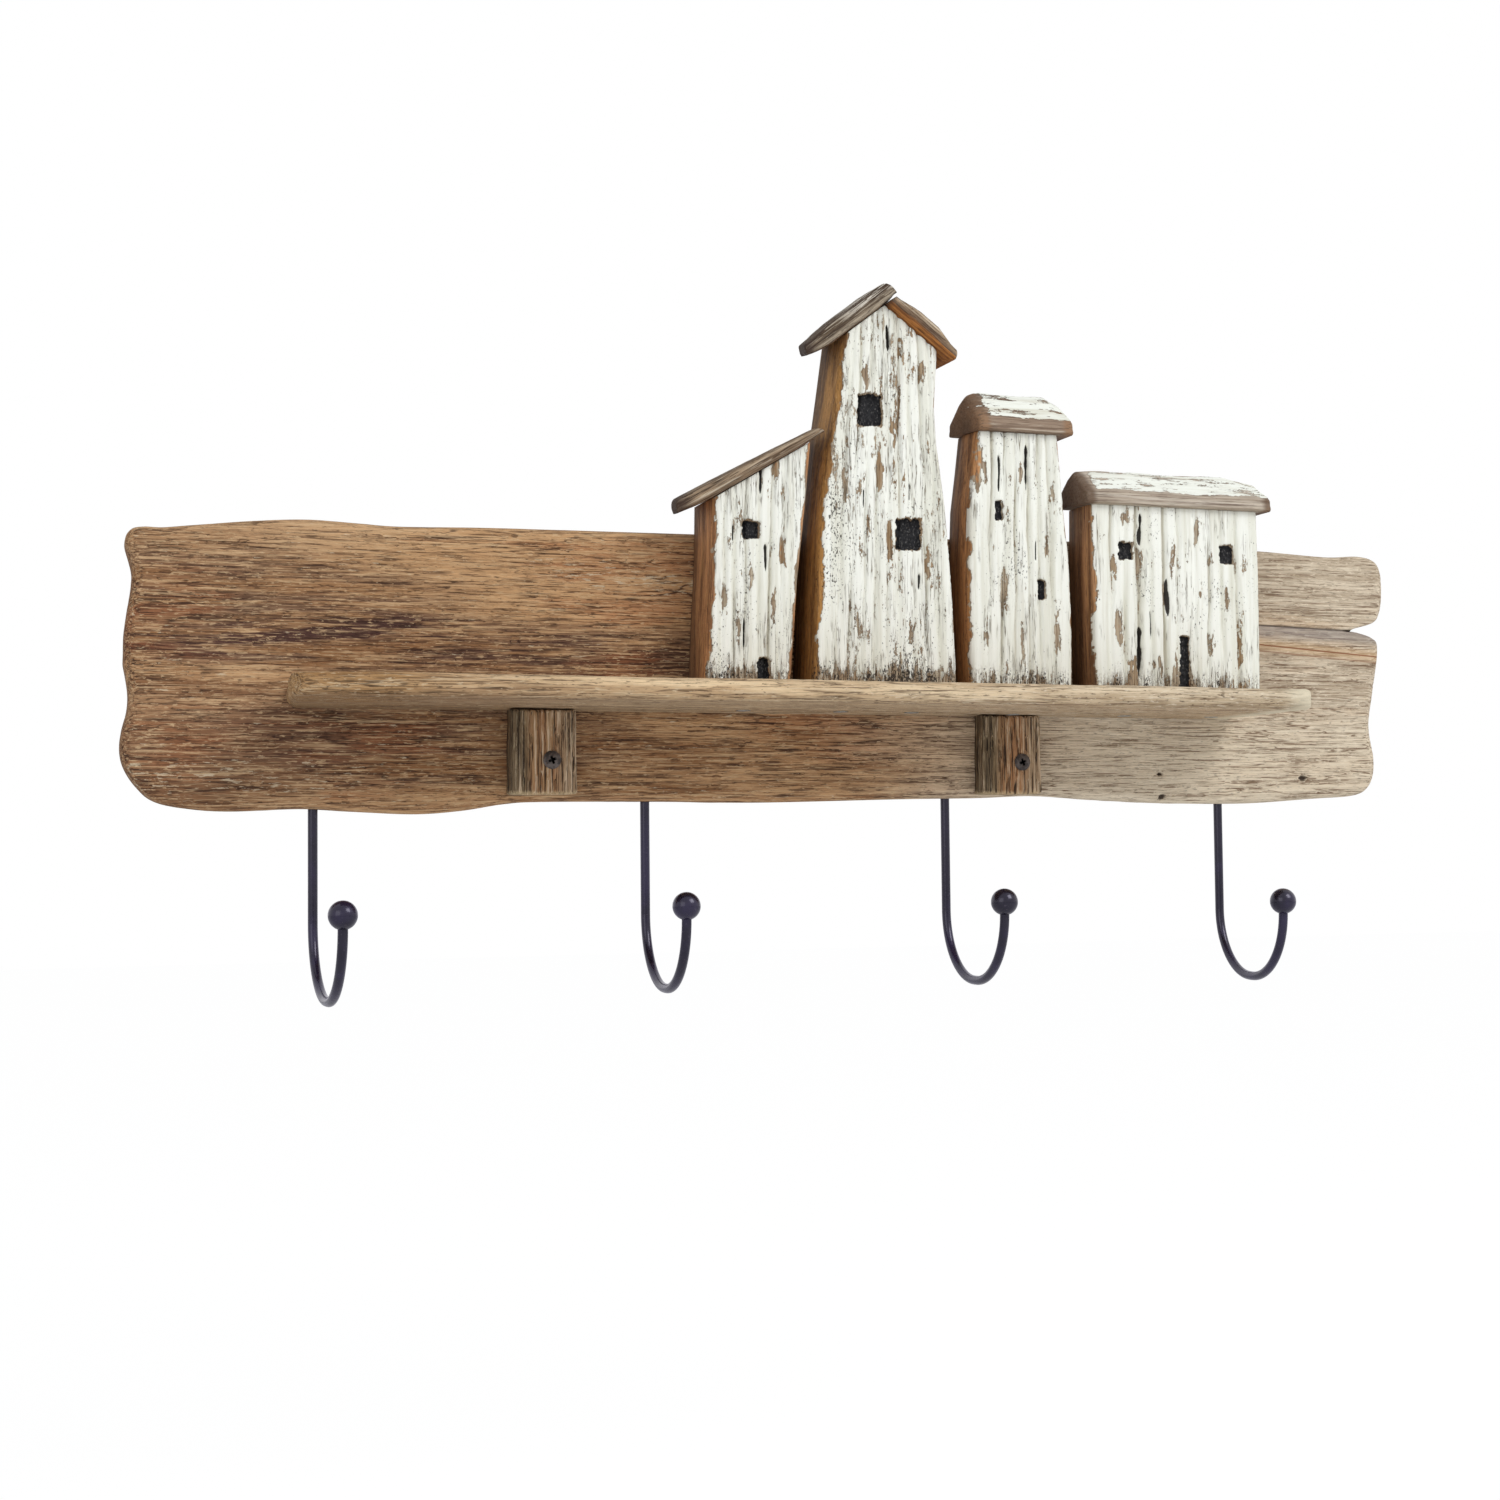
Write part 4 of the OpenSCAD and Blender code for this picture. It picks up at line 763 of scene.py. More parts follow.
def furrows(x, z, lines):
    """Depth of gouged grooves: each line gives its foot, its top, its depth and its half width.

    Across a groove the depth falls off as a rounded V, and it wanders and swells up the house."""
    deep = np.zeros(x.shape)
    height = np.max(z)
    for k, (foot, head, depth, half) in enumerate(lines):
        centre = foot + (head - foot) * z / height
        centre = centre + 0.7 * cloud(z / 26, k * 3.7, seed=71) + 0.25 * cloud(z / 7, k, seed=72)
        width = half * (1 + 0.35 * cloud(z / 19, k * 5.1, seed=73))
        away = np.abs(x - centre) / width
        size = depth * np.clip(0.8 + 0.6 * cloud(z / 31, k * 2.3, seed=74), 0.15, 1.3)
        deep = np.maximum(deep, 1.3 * size * np.clip(1 - away, 0, 1) ** 1.5)
    return deep


def loft_faces(flat):
    """Squares between closed rings, row on row, and triangles that close the first and the last ring.

    Flat gives each point's two coordinates in the plane of its ring."""
    n = np.arange(flat.shape[0] * flat.shape[1]).reshape(flat.shape[:2])
    quads = np.stack([n[:-1], np.roll(n[:-1], -1, 1), np.roll(n[1:], -1, 1), n[1:]], -1)
    first, last = (n[row][flat_faces([flat[row]], [])] for row in (0, -1))
    return quads.reshape(-1, 4), np.concatenate([first[:, ::-1], last])


def make_house(plan):
    """House: level rings from the shelf up to its sloped top, each running round front, sides and back.

    The front corners are quarter circles. The front is sunk by the furrows, by cracks, by the windows
    and doors, and by the thickness of the paint where it has come away. Fields: paint (above 0 where
    it holds), soot in the openings, deep for grooves and cracks, and front (1 on the front)."""
    left, right, depth, top, seed = (plan[key] for key in ("left", "right", "depth", "top", "seed"))
    width = side_at(right, 60.0) - side_at(left, 60.0)
    front = np.linspace(0, 1, int(width / HOUSE_STEP))
    around = np.concatenate([
        np.stack([np.zeros(20), np.linspace(0, 1, 20, endpoint=False)], 1),
        np.stack([front, np.ones(len(front))], 1),
        np.stack([np.ones(20), np.linspace(1, 0, 20, endpoint=False)], 1),
        np.stack([np.linspace(1, 0, 12, endpoint=False), np.zeros(12)], 1)])
    s, f = around[:, 0][None, :], around[:, 1][None, :]

    def across(z, share):
        return side_at(left, z) * (1 - share) + side_at(right, z) * share

    crown = across(90.0, s)
    for _ in range(4):
        crown = across(top(crown) - SHELF_TOP, s)
    tall = top(crown) - SHELF_TOP
    z = np.linspace(0, 1, int(np.max(tall) / HOUSE_STEP))[:, None] * tall
    x = across(z, s)
    xl, xr = across(z, 0.0), across(z, 1.0)
    curl = CORNER_R * (1 - worn(np.minimum(x - xl, xr - x), CORNER_R))
    on_front = np.broadcast_to(f == 1, x.shape).astype(float)
    groove = furrows(x, z, plan["furrows"]) * on_front
    slow = 0.25 * (clouds(x / 13, z / 40, seed=seed, layers=2) + 0.6)
    grain = 0.10 * (clouds(x / 1.5, z / 24, seed=seed + 1, layers=2) + 0.6)
    crack = np.zeros(x.shape)
    for cx, low, high, half, dip in plan["cracks"]:
        bend = cx + 0.5 * cloud(z / 11, cx, seed=75)
        ends = rise(z, low, low + (high - low) * 0.3) * rise(-z, -high, -high + (high - low) * 0.2)
        narrow = half * 0.85 * (0.3 + 0.7 * ends) * (1 + 0.4 * cloud(z / 3.5, cx, seed=79))
        crack = np.maximum(crack, dip * np.exp(-((x - bend) / narrow) ** 2) * ends)
    soot, rim = np.zeros(x.shape), np.zeros(x.shape)
    for wx, wz, ww, wh in plan["openings"]:
        rough = 0.65 * cloud(x / 2.1, z / 2.1, seed=seed + 2) + 0.4 * cloud(x / 0.9, z / 0.9, seed=seed + 3)
        beside, beyond = np.abs(x - wx) - ww / 2, np.abs(z - wz) - wh / 2
        round_out = np.hypot(np.maximum(beside + 1, 0), np.maximum(beyond + 1, 0)) - 1
        out = np.maximum(np.maximum(beside, beyond), round_out) + rough * min(1.0, 0.3 + ww / 14)
        soot = np.maximum(soot, 1 - rise(out, -0.5, 0.25)) * on_front
        rim = np.maximum(rim, 1 - rise(out, 0.1, 1.1))
    # paint holds where this level is above 0; it fails at the edges, the foot, the rims and the patches
    level = plan["hold"] + 0.55 * clouds(x / 2.6, z / 13, seed=seed + 4, layers=3, gain=0.6)
    level = level + 0.22 * cloud(x / 7.5, z / 26, seed=seed + 5)
    torn = clouds(x / 2.4, z / 7, seed=seed + 7, layers=4, gain=0.7)
    ragged = plan["bare_left"] + 1.5 * clouds(z / 17, 0, seed=seed + 6, layers=3, gain=0.6) + 2.2 * torn
    level = level - 2.4 * rise(xl - x, -ragged - 0.6, -ragged + 0.5)
    ragged = plan["bare_right"] + 1.0 * clouds(z / 15, 5, seed=seed + 8, layers=3, gain=0.6) + 1.5 * torn
    level = level - 1.8 * rise(x - xr, -ragged - 0.5, -ragged + 0.4)
    level = level - 0.5 * rise(-z, -16, -1) - 0.25 * rise(groove, 1.0, 2.0)
    level = level - 0.6 * rim * (0.6 + clouds(x / 2, z / 2, seed=seed + 12))
    for px, pz, pw, ph in plan["patches"]:
        wide = (x - px + 0.9 * clouds(x / 2.2, z / 5, seed=77, layers=2)) / pw
        high = (z - pz + 2.5 * clouds(x / 1.4, z / 4, seed=78, layers=2)) / ph
        frayed = 1 + 0.9 * clouds(x / 1.1, z / 3.0, seed=80, layers=2)
        level = level - 1.05 * np.exp(-wide ** 2 - high ** 2) * frayed
    paint = np.where(on_front > 0, level, -3.0) - 2 * soot
    missing = PAINT_T * (1 - rise(paint, -0.04, 0.05))
    cut = (WINDOW_CUT + 0.5 * cloud(x / 0.9, z / 0.9, seed=seed + 10)) * soot
    sink = (curl + groove + slow + grain + crack + missing + cut) * on_front
    # the sides swell by a half sine from back to front, and their grain is sunk
    outward = np.where(s == 0, -1.0, np.where(s == 1, 1.0, 0.0))
    half_sine = np.sin(math.pi * np.clip(f, 0, 1))
    side_grain = 0.22 * (clouds(f * depth / 2.2, z / 30, s * 5, seed=seed + 11, layers=3) + 0.7)
    x = x + (plan["bulge"] * half_sine - side_grain * np.sqrt(half_sine)) * outward
    forward = np.where(f == 1, depth - np.minimum(sink, depth - 1), f * (depth - CORNER_R))
    height = SHELF_TOP + z
    height[-1] = top(x[-1])
    points = np.stack([x, FACE_Y - forward, height], -1)
    fields = {"paint": paint, "soot": soot, "deep": groove * 0.4 + grain * 1.5, "crack": crack * on_front,
              "front": on_front}
    return points.reshape(-1, 3), *loft_faces(points[..., :2]), fields


def chips(f, level, coarse_cells, coarse, fine_cells, fine, seed):
    """Chipped paint: the mesh's own level broken up by a coarse and a fine noise, by the given shares.

    Back come the share of paint, from 0 to 1, a dark line along its edges that is painted shadow of the broken paint,
    and the fine noise."""
    ragged = f.noise(coarse_cells, 5.0, 0.7, seed + 14)
    crumbs = f.noise(fine_cells, 3.0, 0.65, seed + 15)
    holds = level + (ragged - 0.5) * coarse + (crumbs - 0.5) * fine
    return holds.step(-0.03, 0.03), abs(holds + 0.05).step(0.07, 0.0), crumbs


def house_finish(name, stain, clean, seed):
    """Stained wood under chipped off-white paint, with specks of dirt and burnt openings.

    Clean, from 0 up, thins out the crazing and the specks."""
    f = Finish(name, Roughness=0.68, Specular_IOR_Level=0.28)
    n = wood_noise(f, 2, 0.75, seed=seed)
    paint, front, deep = f.field("paint"), f.field("front"), f.field("deep")
    foot = (f.axis("Z") + (n["band"] - 0.5) * 0.02).step(0.007, -0.006)
    # stained wood of the sides: orange-brown, mottled and streaked, with painted shade towards the back where the
    # sides meet the board
    darker = tint(*(c * share for c, share in zip(stain, (0.66, 0.63, 0.6))))
    side = f.layers(
        f.mix(tint(*stain), darker, n["band"].step(0.4, 0.64)), n, ("patch", 0.50, 0.64, 0.5, tint(96, 68, 44)),
        ("streak", 0.46, 0.36, 0.45, tint(206, 158, 100)), ("streak", 0.55, 0.64, 0.6, tint(62, 44, 32)),
        ("fibre", 0.55, 0.65, 0.55, tint(66, 46, 34)), ("fleck", 0.42, 0.33, 0.5, tint(52, 36, 26)),
        ("fleck", 0.60, 0.68, 0.35, tint(214, 176, 124)))
    # painted shade: the sides darken towards the back
    back = (f.axis("Y") - (n["patch"] - 0.5) * 0.02).step(-0.036, -0.020)
    side = f.mix(side, tint(66, 48, 36), back * 0.6)
    # wood between the chips: taupe and tan, browner here and there
    chip = f.layers(
        tint(186, 172, 150), n, ("streak", 0.42, 0.58, 1.0, tint(142, 122, 98)),
        ("patch", 0.52, 0.64, 0.5, tint(160, 126, 86)), ("fibre", 0.53, 0.62, 0.7, tint(78, 62, 48)))
    bare = f.mix(side, chip, front * paint.step(-1.3, -0.9))
    # off-white paint: soft grey-green streaks, painted shade in the grooves, thin upright crazing
    white = f.mix(tint(243, 244, 235), tint(229, 229, 216), n["band"].step(0.42, 0.64))
    soft = f.noise((300, 300, 13), 3.0, 0.6, seed + 11)
    white = f.mix(white, tint(210, 207, 190), soft.step(0.54, 0.70) * 0.5)
    # painted shade: the paint is greyer where the grooves and the grain sink in
    white = f.mix(white, tint(176, 167, 144), deep.step(0.35, 0.95) * 0.65)
    craze = f.noise((620, 620, 24), 3.0, 0.6, seed + 12, 0.4)
    where = f.noise((130, 130, 26), 3.0, 0.6, seed + 13)
    lines = abs(craze - 0.5).step(0.020, 0.005) * (where + foot * 0.15 - clean).step(0.46, 0.55)
    white = f.mix(white, tint(118, 102, 80), lines * 0.8)
    # ragged chips, stretched up the house
    edge, lip_shadow, fine = chips(f, paint * 0.8 - foot * 0.12, (430, 430, 85), 1.8, (1500, 1500, 620), 1.0, seed)
    colour = f.mix(bare, white, edge)
    # painted shadow: a dark line along the broken edge of the paint
    colour = f.mix(colour, tint(84, 68, 52), lip_shadow * front * fine.step(0.42, 0.58) * 0.85)
    # dirt: black specks in crowds, and brown grime at the foot
    speck = f.noise((1150, 1150, 760), 3.0, 0.6, seed + 16)
    crowd = f.noise((60, 60, 34), 2.0, 0.5, seed + 17)
    grime = foot * (n["streak"] + (fine - 0.5) * 0.9).step(0.50, 0.58)
    soil = f.mix(tint(120, 98, 74), tint(70, 54, 42), speck.step(0.48, 0.56))
    colour = f.mix(colour, soil, grime * front * 0.8)
    dots = (speck + (crowd - 0.5) * 0.4 + foot * 0.13 - clean * 0.4).step(0.67, 0.70)
    colour = f.mix(colour, tint(52, 44, 38), dots * front * 0.92)
    cracked = (f.field("crack") + (fine - 0.5) * 0.6).step(0.45, 0.8)
    colour = f.mix(colour, tint(34, 28, 24), cracked * 0.97)
    burnt = f.mix(tint(24, 24, 27), tint(96, 94, 92), (fine + (speck - 0.5) * 0.6).step(0.56, 0.7))
    colour = f.mix(colour, burnt, f.field("soot").step(0.35, 0.65))
    height = edge * 0.45 - lines * 0.35 + n["streak"] * 0.25 + n["fibre"] * 0.15 - dots * 0.3
    return f.use(colour, None, height, 0.0007, 0.9)


LEAN_SLOPE = 0.593
GABLE_X, GABLE_Z = 25.0, SHELF_TOP + 184.0
GABLE_SLOPES = (0.76, 0.742)
NARROW_TOP, LOW_TOP = 127.5, 94.0  # heights above the shelf


def lean_top(x):
    """Height of the lean-to's sloped top, rising to the right."""
    return SHELF_TOP + 116.0 - LEAN_SLOPE * (-13.4 - x)


def gable_top(x):
    """Height of the tower's top: two slopes that meet at the ridge."""
    left, right = GABLE_SLOPES
    return GABLE_Z - np.where(x < GABLE_X, left * (GABLE_X - x), right * (x - GABLE_X))


def level_top(height):
    """A level top at that height above the shelf."""
    return lambda x: np.full(np.shape(x), SHELF_TOP + height)


# Left and right: height and place of points up each side. Furrows: foot, top, depth, half width.
# Cracks: place, low and high end, half width, depth. Openings: middle, width, height. Patches of
# bare wood: middle, half width, half height. Bare and hold: how far the paint stays from the sides,
# and how well it holds. Clean: how free it is of specks. Stain: colour of the wood.
HOUSES = {
    "lean_to_house": dict(
        left=[[0, -66], [30, -64.5], [60, -62.6], [90, -62]],
        right=[[0, -24], [50, -20], [90, -15.1], [120, -12.1]],
        depth=29.0, top=lean_top, seed=100, bulge=0.4, bare_left=0.9, bare_right=2.0, hold=0.50, clean=0.03,
        stain=(212, 154, 106),
        furrows=[(-59, -55, 1.1, 2.0), (-53, -50.5, 1.3, 1.7), (-47.5, -45, 1.4, 1.6),
                 (-41.5, -38.5, 0.9, 1.8), (-36, -32, 1.4, 1.6), (-30.5, -26, 1.2, 1.8), (-26.5, -20, 1.0, 1.6)],
        cracks=[(-38.6, 88, 108, 0.8, 2.0), (-37.0, 52, 68, 0.8, 1.8), (-47.5, 15, 34, 0.6, 1.5),
                (-52.5, 66, 76, 0.6, 1.4)],
        openings=[(-43.4, 73.2, 8.3, 8.6), (-37.7, 6.5, 6, 14)],
        patches=[(-31, 102, 1.8, 4), (-28, 64, 1.6, 6), (-57, 40, 1.4, 8), (-33, 38, 1.6, 10),
                 (-50, 28, 1.5, 9), (-44, 50, 1.1, 8)]),
    "tower_house": dict(
        left=[[0, -13.2], [30, -11.6], [74, -9.2], [95, -7], [112, -4.9], [130, -1.6], [147, 1], [168, 4.1],
              [190, 6]],
        right=[[0, 61], [32, 60], [60, 58.4], [86, 56.4], [118, 52.3], [136, 51.2], [160, 52.8], [190, 53.4]],
        depth=30.0, top=gable_top, seed=200, bulge=0.6, bare_left=1.7, bare_right=0.2, hold=0.42, clean=0.0,
        stain=(180, 131, 72),
        furrows=[(-4, 10, 0.9, 1.6), (3.5, 14, 1.3, 1.8), (10.5, 18.5, 1.0, 1.6), (17, 22, 1.4, 1.7),
                 (24.5, 27, 0.9, 1.7), (31, 32, 1.4, 1.8), (38, 37, 0.9, 1.6), (45.5, 42, 1.3, 1.8),
                 (52, 47, 1.0, 1.7)],
        cracks=[(26.5, 160, 176, 0.8, 2.0), (37, 88, 100, 0.5, 1.2), (41, 46, 56, 0.6, 1.4),
                (13, 84, 96, 0.6, 1.3)],
        openings=[(16.9, 133, 11.9, 15.4), (36.1, 73.9, 13.2, 15)],
        patches=[(29, 122, 1.6, 8), (14.5, 150, 1.6, 7), (22, 104, 1.3, 8), (44, 152, 1.4, 5),
                 (26, 68, 1.4, 11), (46.5, 58, 1.4, 9), (4, 96, 1.3, 7), (33, 164, 1.0, 5)]),
    "narrow_house": dict(
        left=[[0, 71.5], [30, 70.4], [60, 70.3], [90, 71.6], [110, 74.4], [126, 76.4]],
        right=[[0, 127], [40, 127.1], [64, 126.3], [96, 123.3], [126, 121]],
        depth=23.0, top=level_top(NARROW_TOP), seed=300, bulge=1.4, bare_left=0.6, bare_right=0.8, hold=0.64,
        clean=0.05, stain=(196, 142, 94),
        furrows=[(80, 84.5, 1.3, 2.0), (88, 91, 1.5, 1.8), (95.5, 97, 1.4, 1.9), (103.5, 103, 1.6, 1.7),
                 (110, 108.5, 1.0, 1.9), (117, 114, 1.4, 1.9)],
        cracks=[(87.5, 95, 118, 0.7, 2.0), (103.0, 96, 124, 0.8, 2.2), (107, 62, 76, 0.5, 1.3)],
        openings=[(87.6, 88.7, 4.3, 9.8), (110.2, 50.6, 3.8, 9.4)],
        patches=[(76, 113, 3.2, 10), (77.5, 109, 3.0, 9), (99, 108, 1.0, 4), (90, 52, 1.8, 8),
                 (117, 96, 1.3, 9), (108, 104, 1.2, 4), (84, 70, 1.0, 3), (80, 30, 1.6, 9),
                 (113, 70, 1.3, 6), (99, 24, 1.6, 10), (118, 34, 1.5, 12), (92, 84, 1.1, 6)]),
    "low_house": dict(
        left=[[0, 138.4], [40, 138], [70, 137.4], [94, 137.8]],
        right=[[0, 233.8], [40, 234.2], [70, 234], [94, 233.6]],
        depth=24.0, top=level_top(LOW_TOP), seed=400, bulge=0.8, bare_left=0.9, bare_right=0.4, hold=0.65,
        clean=0.06, stain=(188, 141, 100),
        furrows=[(148, 148.5, 1.3, 2.2), (156, 156, 1.0, 1.8), (164.5, 163, 1.6, 2.2), (171, 170, 0.9, 1.8),
                 (179, 178.5, 1.7, 2.2), (186.5, 186, 1.2, 2.0), (196, 195, 1.4, 2.0), (203.5, 204, 1.3, 1.9),
                 (212, 211, 1.0, 1.8), (221, 220, 1.5, 2.0)],
        cracks=[(165, 72, 92, 0.8, 2.2), (163.8, 4, 36, 1.2, 2.0), (180, 36, 60, 0.8, 2.0),
                (170, 24, 44, 0.5, 1.2)],
        openings=[(156.7, 71.4, 7.7, 8.8), (214.9, 71.4, 8.1, 9.6), (189.6, 14.5, 5.5, 29.5)],
        patches=[(156, 88, 1.8, 3), (184, 71, 2.2, 7), (191, 71, 1.4, 6), (153, 32, 3.2, 9),
                 (174, 15, 4.2, 6), (164, 66, 1.6, 6), (206, 68, 1.2, 4), (200, 52, 1.2, 6),
                 (178, 50, 1.2, 5), (214, 46, 1.6, 9), (160, 12, 3.0, 8), (184, 10, 2.6, 9),
                 (205, 26, 1.8, 11), (222, 28, 1.3, 12), (150, 60, 1.6, 10), (197, 82, 1.2, 6)]),
}
for name, plan in HOUSES.items():
    finish = house_finish(name + "_paint", plan["stain"], plan["clean"], plan["seed"] / 7.0)
    place(solid(name + "_carving", *make_house(plan)), finish, name)

# Roofs: old driftwood glued on top of the houses. The lean-to has one tapering board, the tower two,
# the left one lapping over the right at the ridge. They are left bare and worn round at the ends.


def make_roof_board(plan, highest):
    """Roof board: cross-sections along its slope, each a flat underside and a rounded top.

    The section is a superellipse: it thins and narrows by a quarter ellipse near each end. Its low
    end is sawn askew. The result is turned up by the slope and moved to where the board starts. It
    stays under the highest point of its solid, and a right-hand board under the one it leans on."""
    length, deep, skew, seed, wear = (plan[key] for key in ("length", "deep", "skew", "seed", "end"))
    u = edge_steps(length, wear, 0.62, 9)
    along = (u * length)[:, None]
    shrink = 0.12 + 0.88 * worn(np.minimum(along, length - along), wear)
    swell = 1 + 0.07 * np.sin(along / 11 + seed) + 0.05 * cloud(along / 13, 0, seed=seed)
    lifts = plan["lifts"]
    low = (lifts[0] * np.maximum(1 - u / 0.3, 0) ** 2 + lifts[1] * np.maximum(u / 0.1 - 9, 0) ** 2)[:, None]
    thick = (np.interp(u, *np.array(plan["form"]).T)[:, None] - low) * shrink
    angle = np.linspace(0, 2 * math.pi, 132, endpoint=False)[None, :]
    px, pz = (np.sign(c) * np.abs(c) ** (2 / plan["square"]) for c in (np.cos(angle), np.sin(angle)))
    y = -deep / 2 + px * (deep / 2 - 1.1 * (1 - shrink))
    z = thick / 2 * (1 + pz * np.where(pz > 0, np.minimum(swell, 1.0), 1.0))
    x = along + skew * (1 - u)[:, None] * (1 + y / deep)
    grain = (0.20 * (clouds(along / 26, (y + z * 2) / 1.7, z / 1.7, seed=seed + 1, layers=3, gain=0.6) + 0.7)
             + 0.35 * rise(cloud(along / 8, (y + z) / 0.9, z / 1.1, seed=seed + 2), 0.5, 0.8)
             + 0.25 * (clouds(along / 13, y / 9, z / 5, seed=seed + 3, layers=2) + 0.7))
    grain = grain * np.minimum(1, thick / 3)
    y = np.minimum(y - px * grain, -0.05)
    z = np.maximum(z - pz * grain * np.where(pz > 0, 1.0, 0.35), 0.0) + low
    c, s = math.cos(plan["slope"]), math.sin(plan["slope"])
    ox, oz = plan["start"]
    wide, height = ox + c * x - s * z, oz + s * x + c * z
    if s < 0:
        height = np.minimum(height, GABLE_Z - GABLE_SLOPES[0] * (GABLE_X - wide))
    points = np.stack([wide, FACE_Y + y, np.minimum(height, highest)], -1)
    edge = (px < -0.9) * (1 - rise(pz, -0.7, -0.2))
    fields = {"sink": grain, "face": pz, "edge": edge, "along": u[:, None]}
    fields = {name: np.broadcast_to(values, y.shape) for name, values in fields.items()}
    return points.reshape(-1, 3), *loft_faces(np.stack([y, z], -1)), fields


def roof_finish(name, angle, stain_line, stained, shade, pale_edge):
    """Bare driftwood of a roof board: dark grey-brown with pale streaks, stained underneath.

    Angle turns the grain along the board. Field face runs from -1 below to 1 on top of the board; the
    stain ends where it passes the stain line."""
    f = Finish(name, Roughness=0.82, Specular_IOR_Level=0.25)
    f.place = f.add("ShaderNodeMapping", {}, {"Vector": f.place, "Rotation": (0.0, angle, 0.0)})
    n = wood_noise(f, 0, 0.8, seed=60)
    low, high = (tint(*(c * shade for c in colour)) for colour in ((126, 102, 78), (188, 162, 132)))
    base = f.mix(low, high, n["band"].step(0.40, 0.60))
    base = f.mix(base, tint(216, 202, 178), f.field("edge") * n["patch"].step(0.4, 0.5) * pale_edge)
    base = f.layers(
        base, n, ("streak", 0.46, 0.37, 0.6, tint(222, 210, 188)), ("streak", 0.53, 0.62, 0.85, tint(58, 44, 35)),
        ("fibre", 0.43, 0.35, 0.4, tint(216, 204, 182)), ("fibre", 0.55, 0.64, 0.65, tint(54, 42, 34)))
    face = f.field("face") + (n["streak"] - 0.5) * 0.9 + (n["patch"] - 0.5) * 0.6
    base = f.mix(base, tint(66, 50, 39), face.step(0.35, 0.85) * 0.45)
    rubbed = f.field("along").step(0.35, 0.70) * face.step(-0.05, 0.3) * n["streak"].step(0.52, 0.46)
    base = f.mix(base, tint(226, 218, 204), rubbed * pale_edge * 0.9)
    base = f.mix(base, tint(82, 58, 43), face.step(stain_line + 0.70, stain_line + 0.25) * stained * 0.7)
    under = f.mix(tint(184, 120, 58), tint(124, 76, 38), n["streak"].step(0.42, 0.6))
    base = f.mix(base, under, face.step(stain_line + 0.14, stain_line - 0.14) * stained * 0.9)
    ends = f.field("along") + (n["band"] - 0.5) * 0.12
    base = f.mix(base, tint(60, 44, 36), ends.step(0.15, 0.03) * 0.85)
    base = f.mix(base, tint(48, 37, 30), f.field("sink").step(0.35, 0.8) * 0.5)
    height = n["fibre"] * 0.4 - n["streak"] * 0.8
    return f.use(base, None, height, 0.0011, 0.9)


OVERHANG = 4.0  # how far a roof stands out over the front of its house
GLUE = 0.06  # glue line under a roof
TOWER_ROOF_T = 9.6
LEAN_ROOF_X, TOWER_ROOF_X = -79.3, -14.6  # where the low ends of the two left-hand boards start
lean_angle = math.atan(LEAN_SLOPE)
left_angle, right_angle = (math.atan(slope) for slope in GABLE_SLOPES)


def thick_middle(first, last):
    """Thickness of a tower roof board along its length: full in the middle, these shares at its ends."""
    shares = [first, first + 0.04, 1, 1, last + 0.06, last]
    return [(u, TOWER_ROOF_T * share) for u, share in zip([0, 0.14, 0.4, 0.65, 0.86, 1], shares)]


# Form: thickness along the board. Lifts: how far its underside rises at the low and the high end.
# End: length of the worn edge. Square: power of the section. Wood: share of stain underneath, shade,
# and share of pale wear.
ROOF_BOARDS = {
    "lean_to_roof": dict(
        start=(LEAN_ROOF_X, lean_top(LEAN_ROOF_X) + GLUE), length=(-7 - LEAN_ROOF_X) / math.cos(lean_angle),
        deep=HOUSES["lean_to_house"]["depth"] + OVERHANG, form=[(0, 9), (0.2, 8.37), (1, 5.2)],
        lifts=(2, 0.8), skew=9.0, slope=lean_angle, end=4.0, square=4.2, seed=500,
        wood=(0.3, 0.88, 0.0), stain_line=-0.9),
    "tower_roof_left": dict(
        start=(TOWER_ROOF_X, float(gable_top(TOWER_ROOF_X)) + GLUE),
        length=(31 - TOWER_ROOF_X) / math.cos(left_angle), deep=HOUSES["tower_house"]["depth"] + OVERHANG,
        form=thick_middle(0.86, 0.94), lifts=(2.6, 1.2), skew=12.0, slope=left_angle, end=2.4, square=4.6,
        seed=520, wood=(0.5, 0.66, 0.85), stain_line=-0.9),
    "tower_roof_right": dict(
        start=(GABLE_X - 2 * math.cos(right_angle), GABLE_Z + 2 * math.sin(right_angle) + GLUE),
        length=(59.6 - GABLE_X) / math.cos(right_angle) + 2, deep=HOUSES["tower_house"]["depth"] + OVERHANG,
        form=thick_middle(0.72, 0.66), lifts=(0, 1), skew=0.0, slope=-right_angle, end=2.6, square=4.6,
        seed=540, wood=(1.0, 0.98, 0.0), stain_line=-0.45),
}
for name, plan in ROOF_BOARDS.items():
    roof = solid(name + "_board", *make_roof_board(plan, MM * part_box(name)[1][2]))
    place(roof, roof_finish(name + "_wood", plan["slope"], plan["stain_line"], *plan["wood"]), name)

# Painted roofs: the narrow and the low house each have one solid gabled piece, shaped like a hipped
# loaf. Its top is painted off-white and chipped; its front edge and ends are bare brown wood.
LOAF_EDGE = 6.5  # height of the front edge
LOAF_WEAR = 3.0


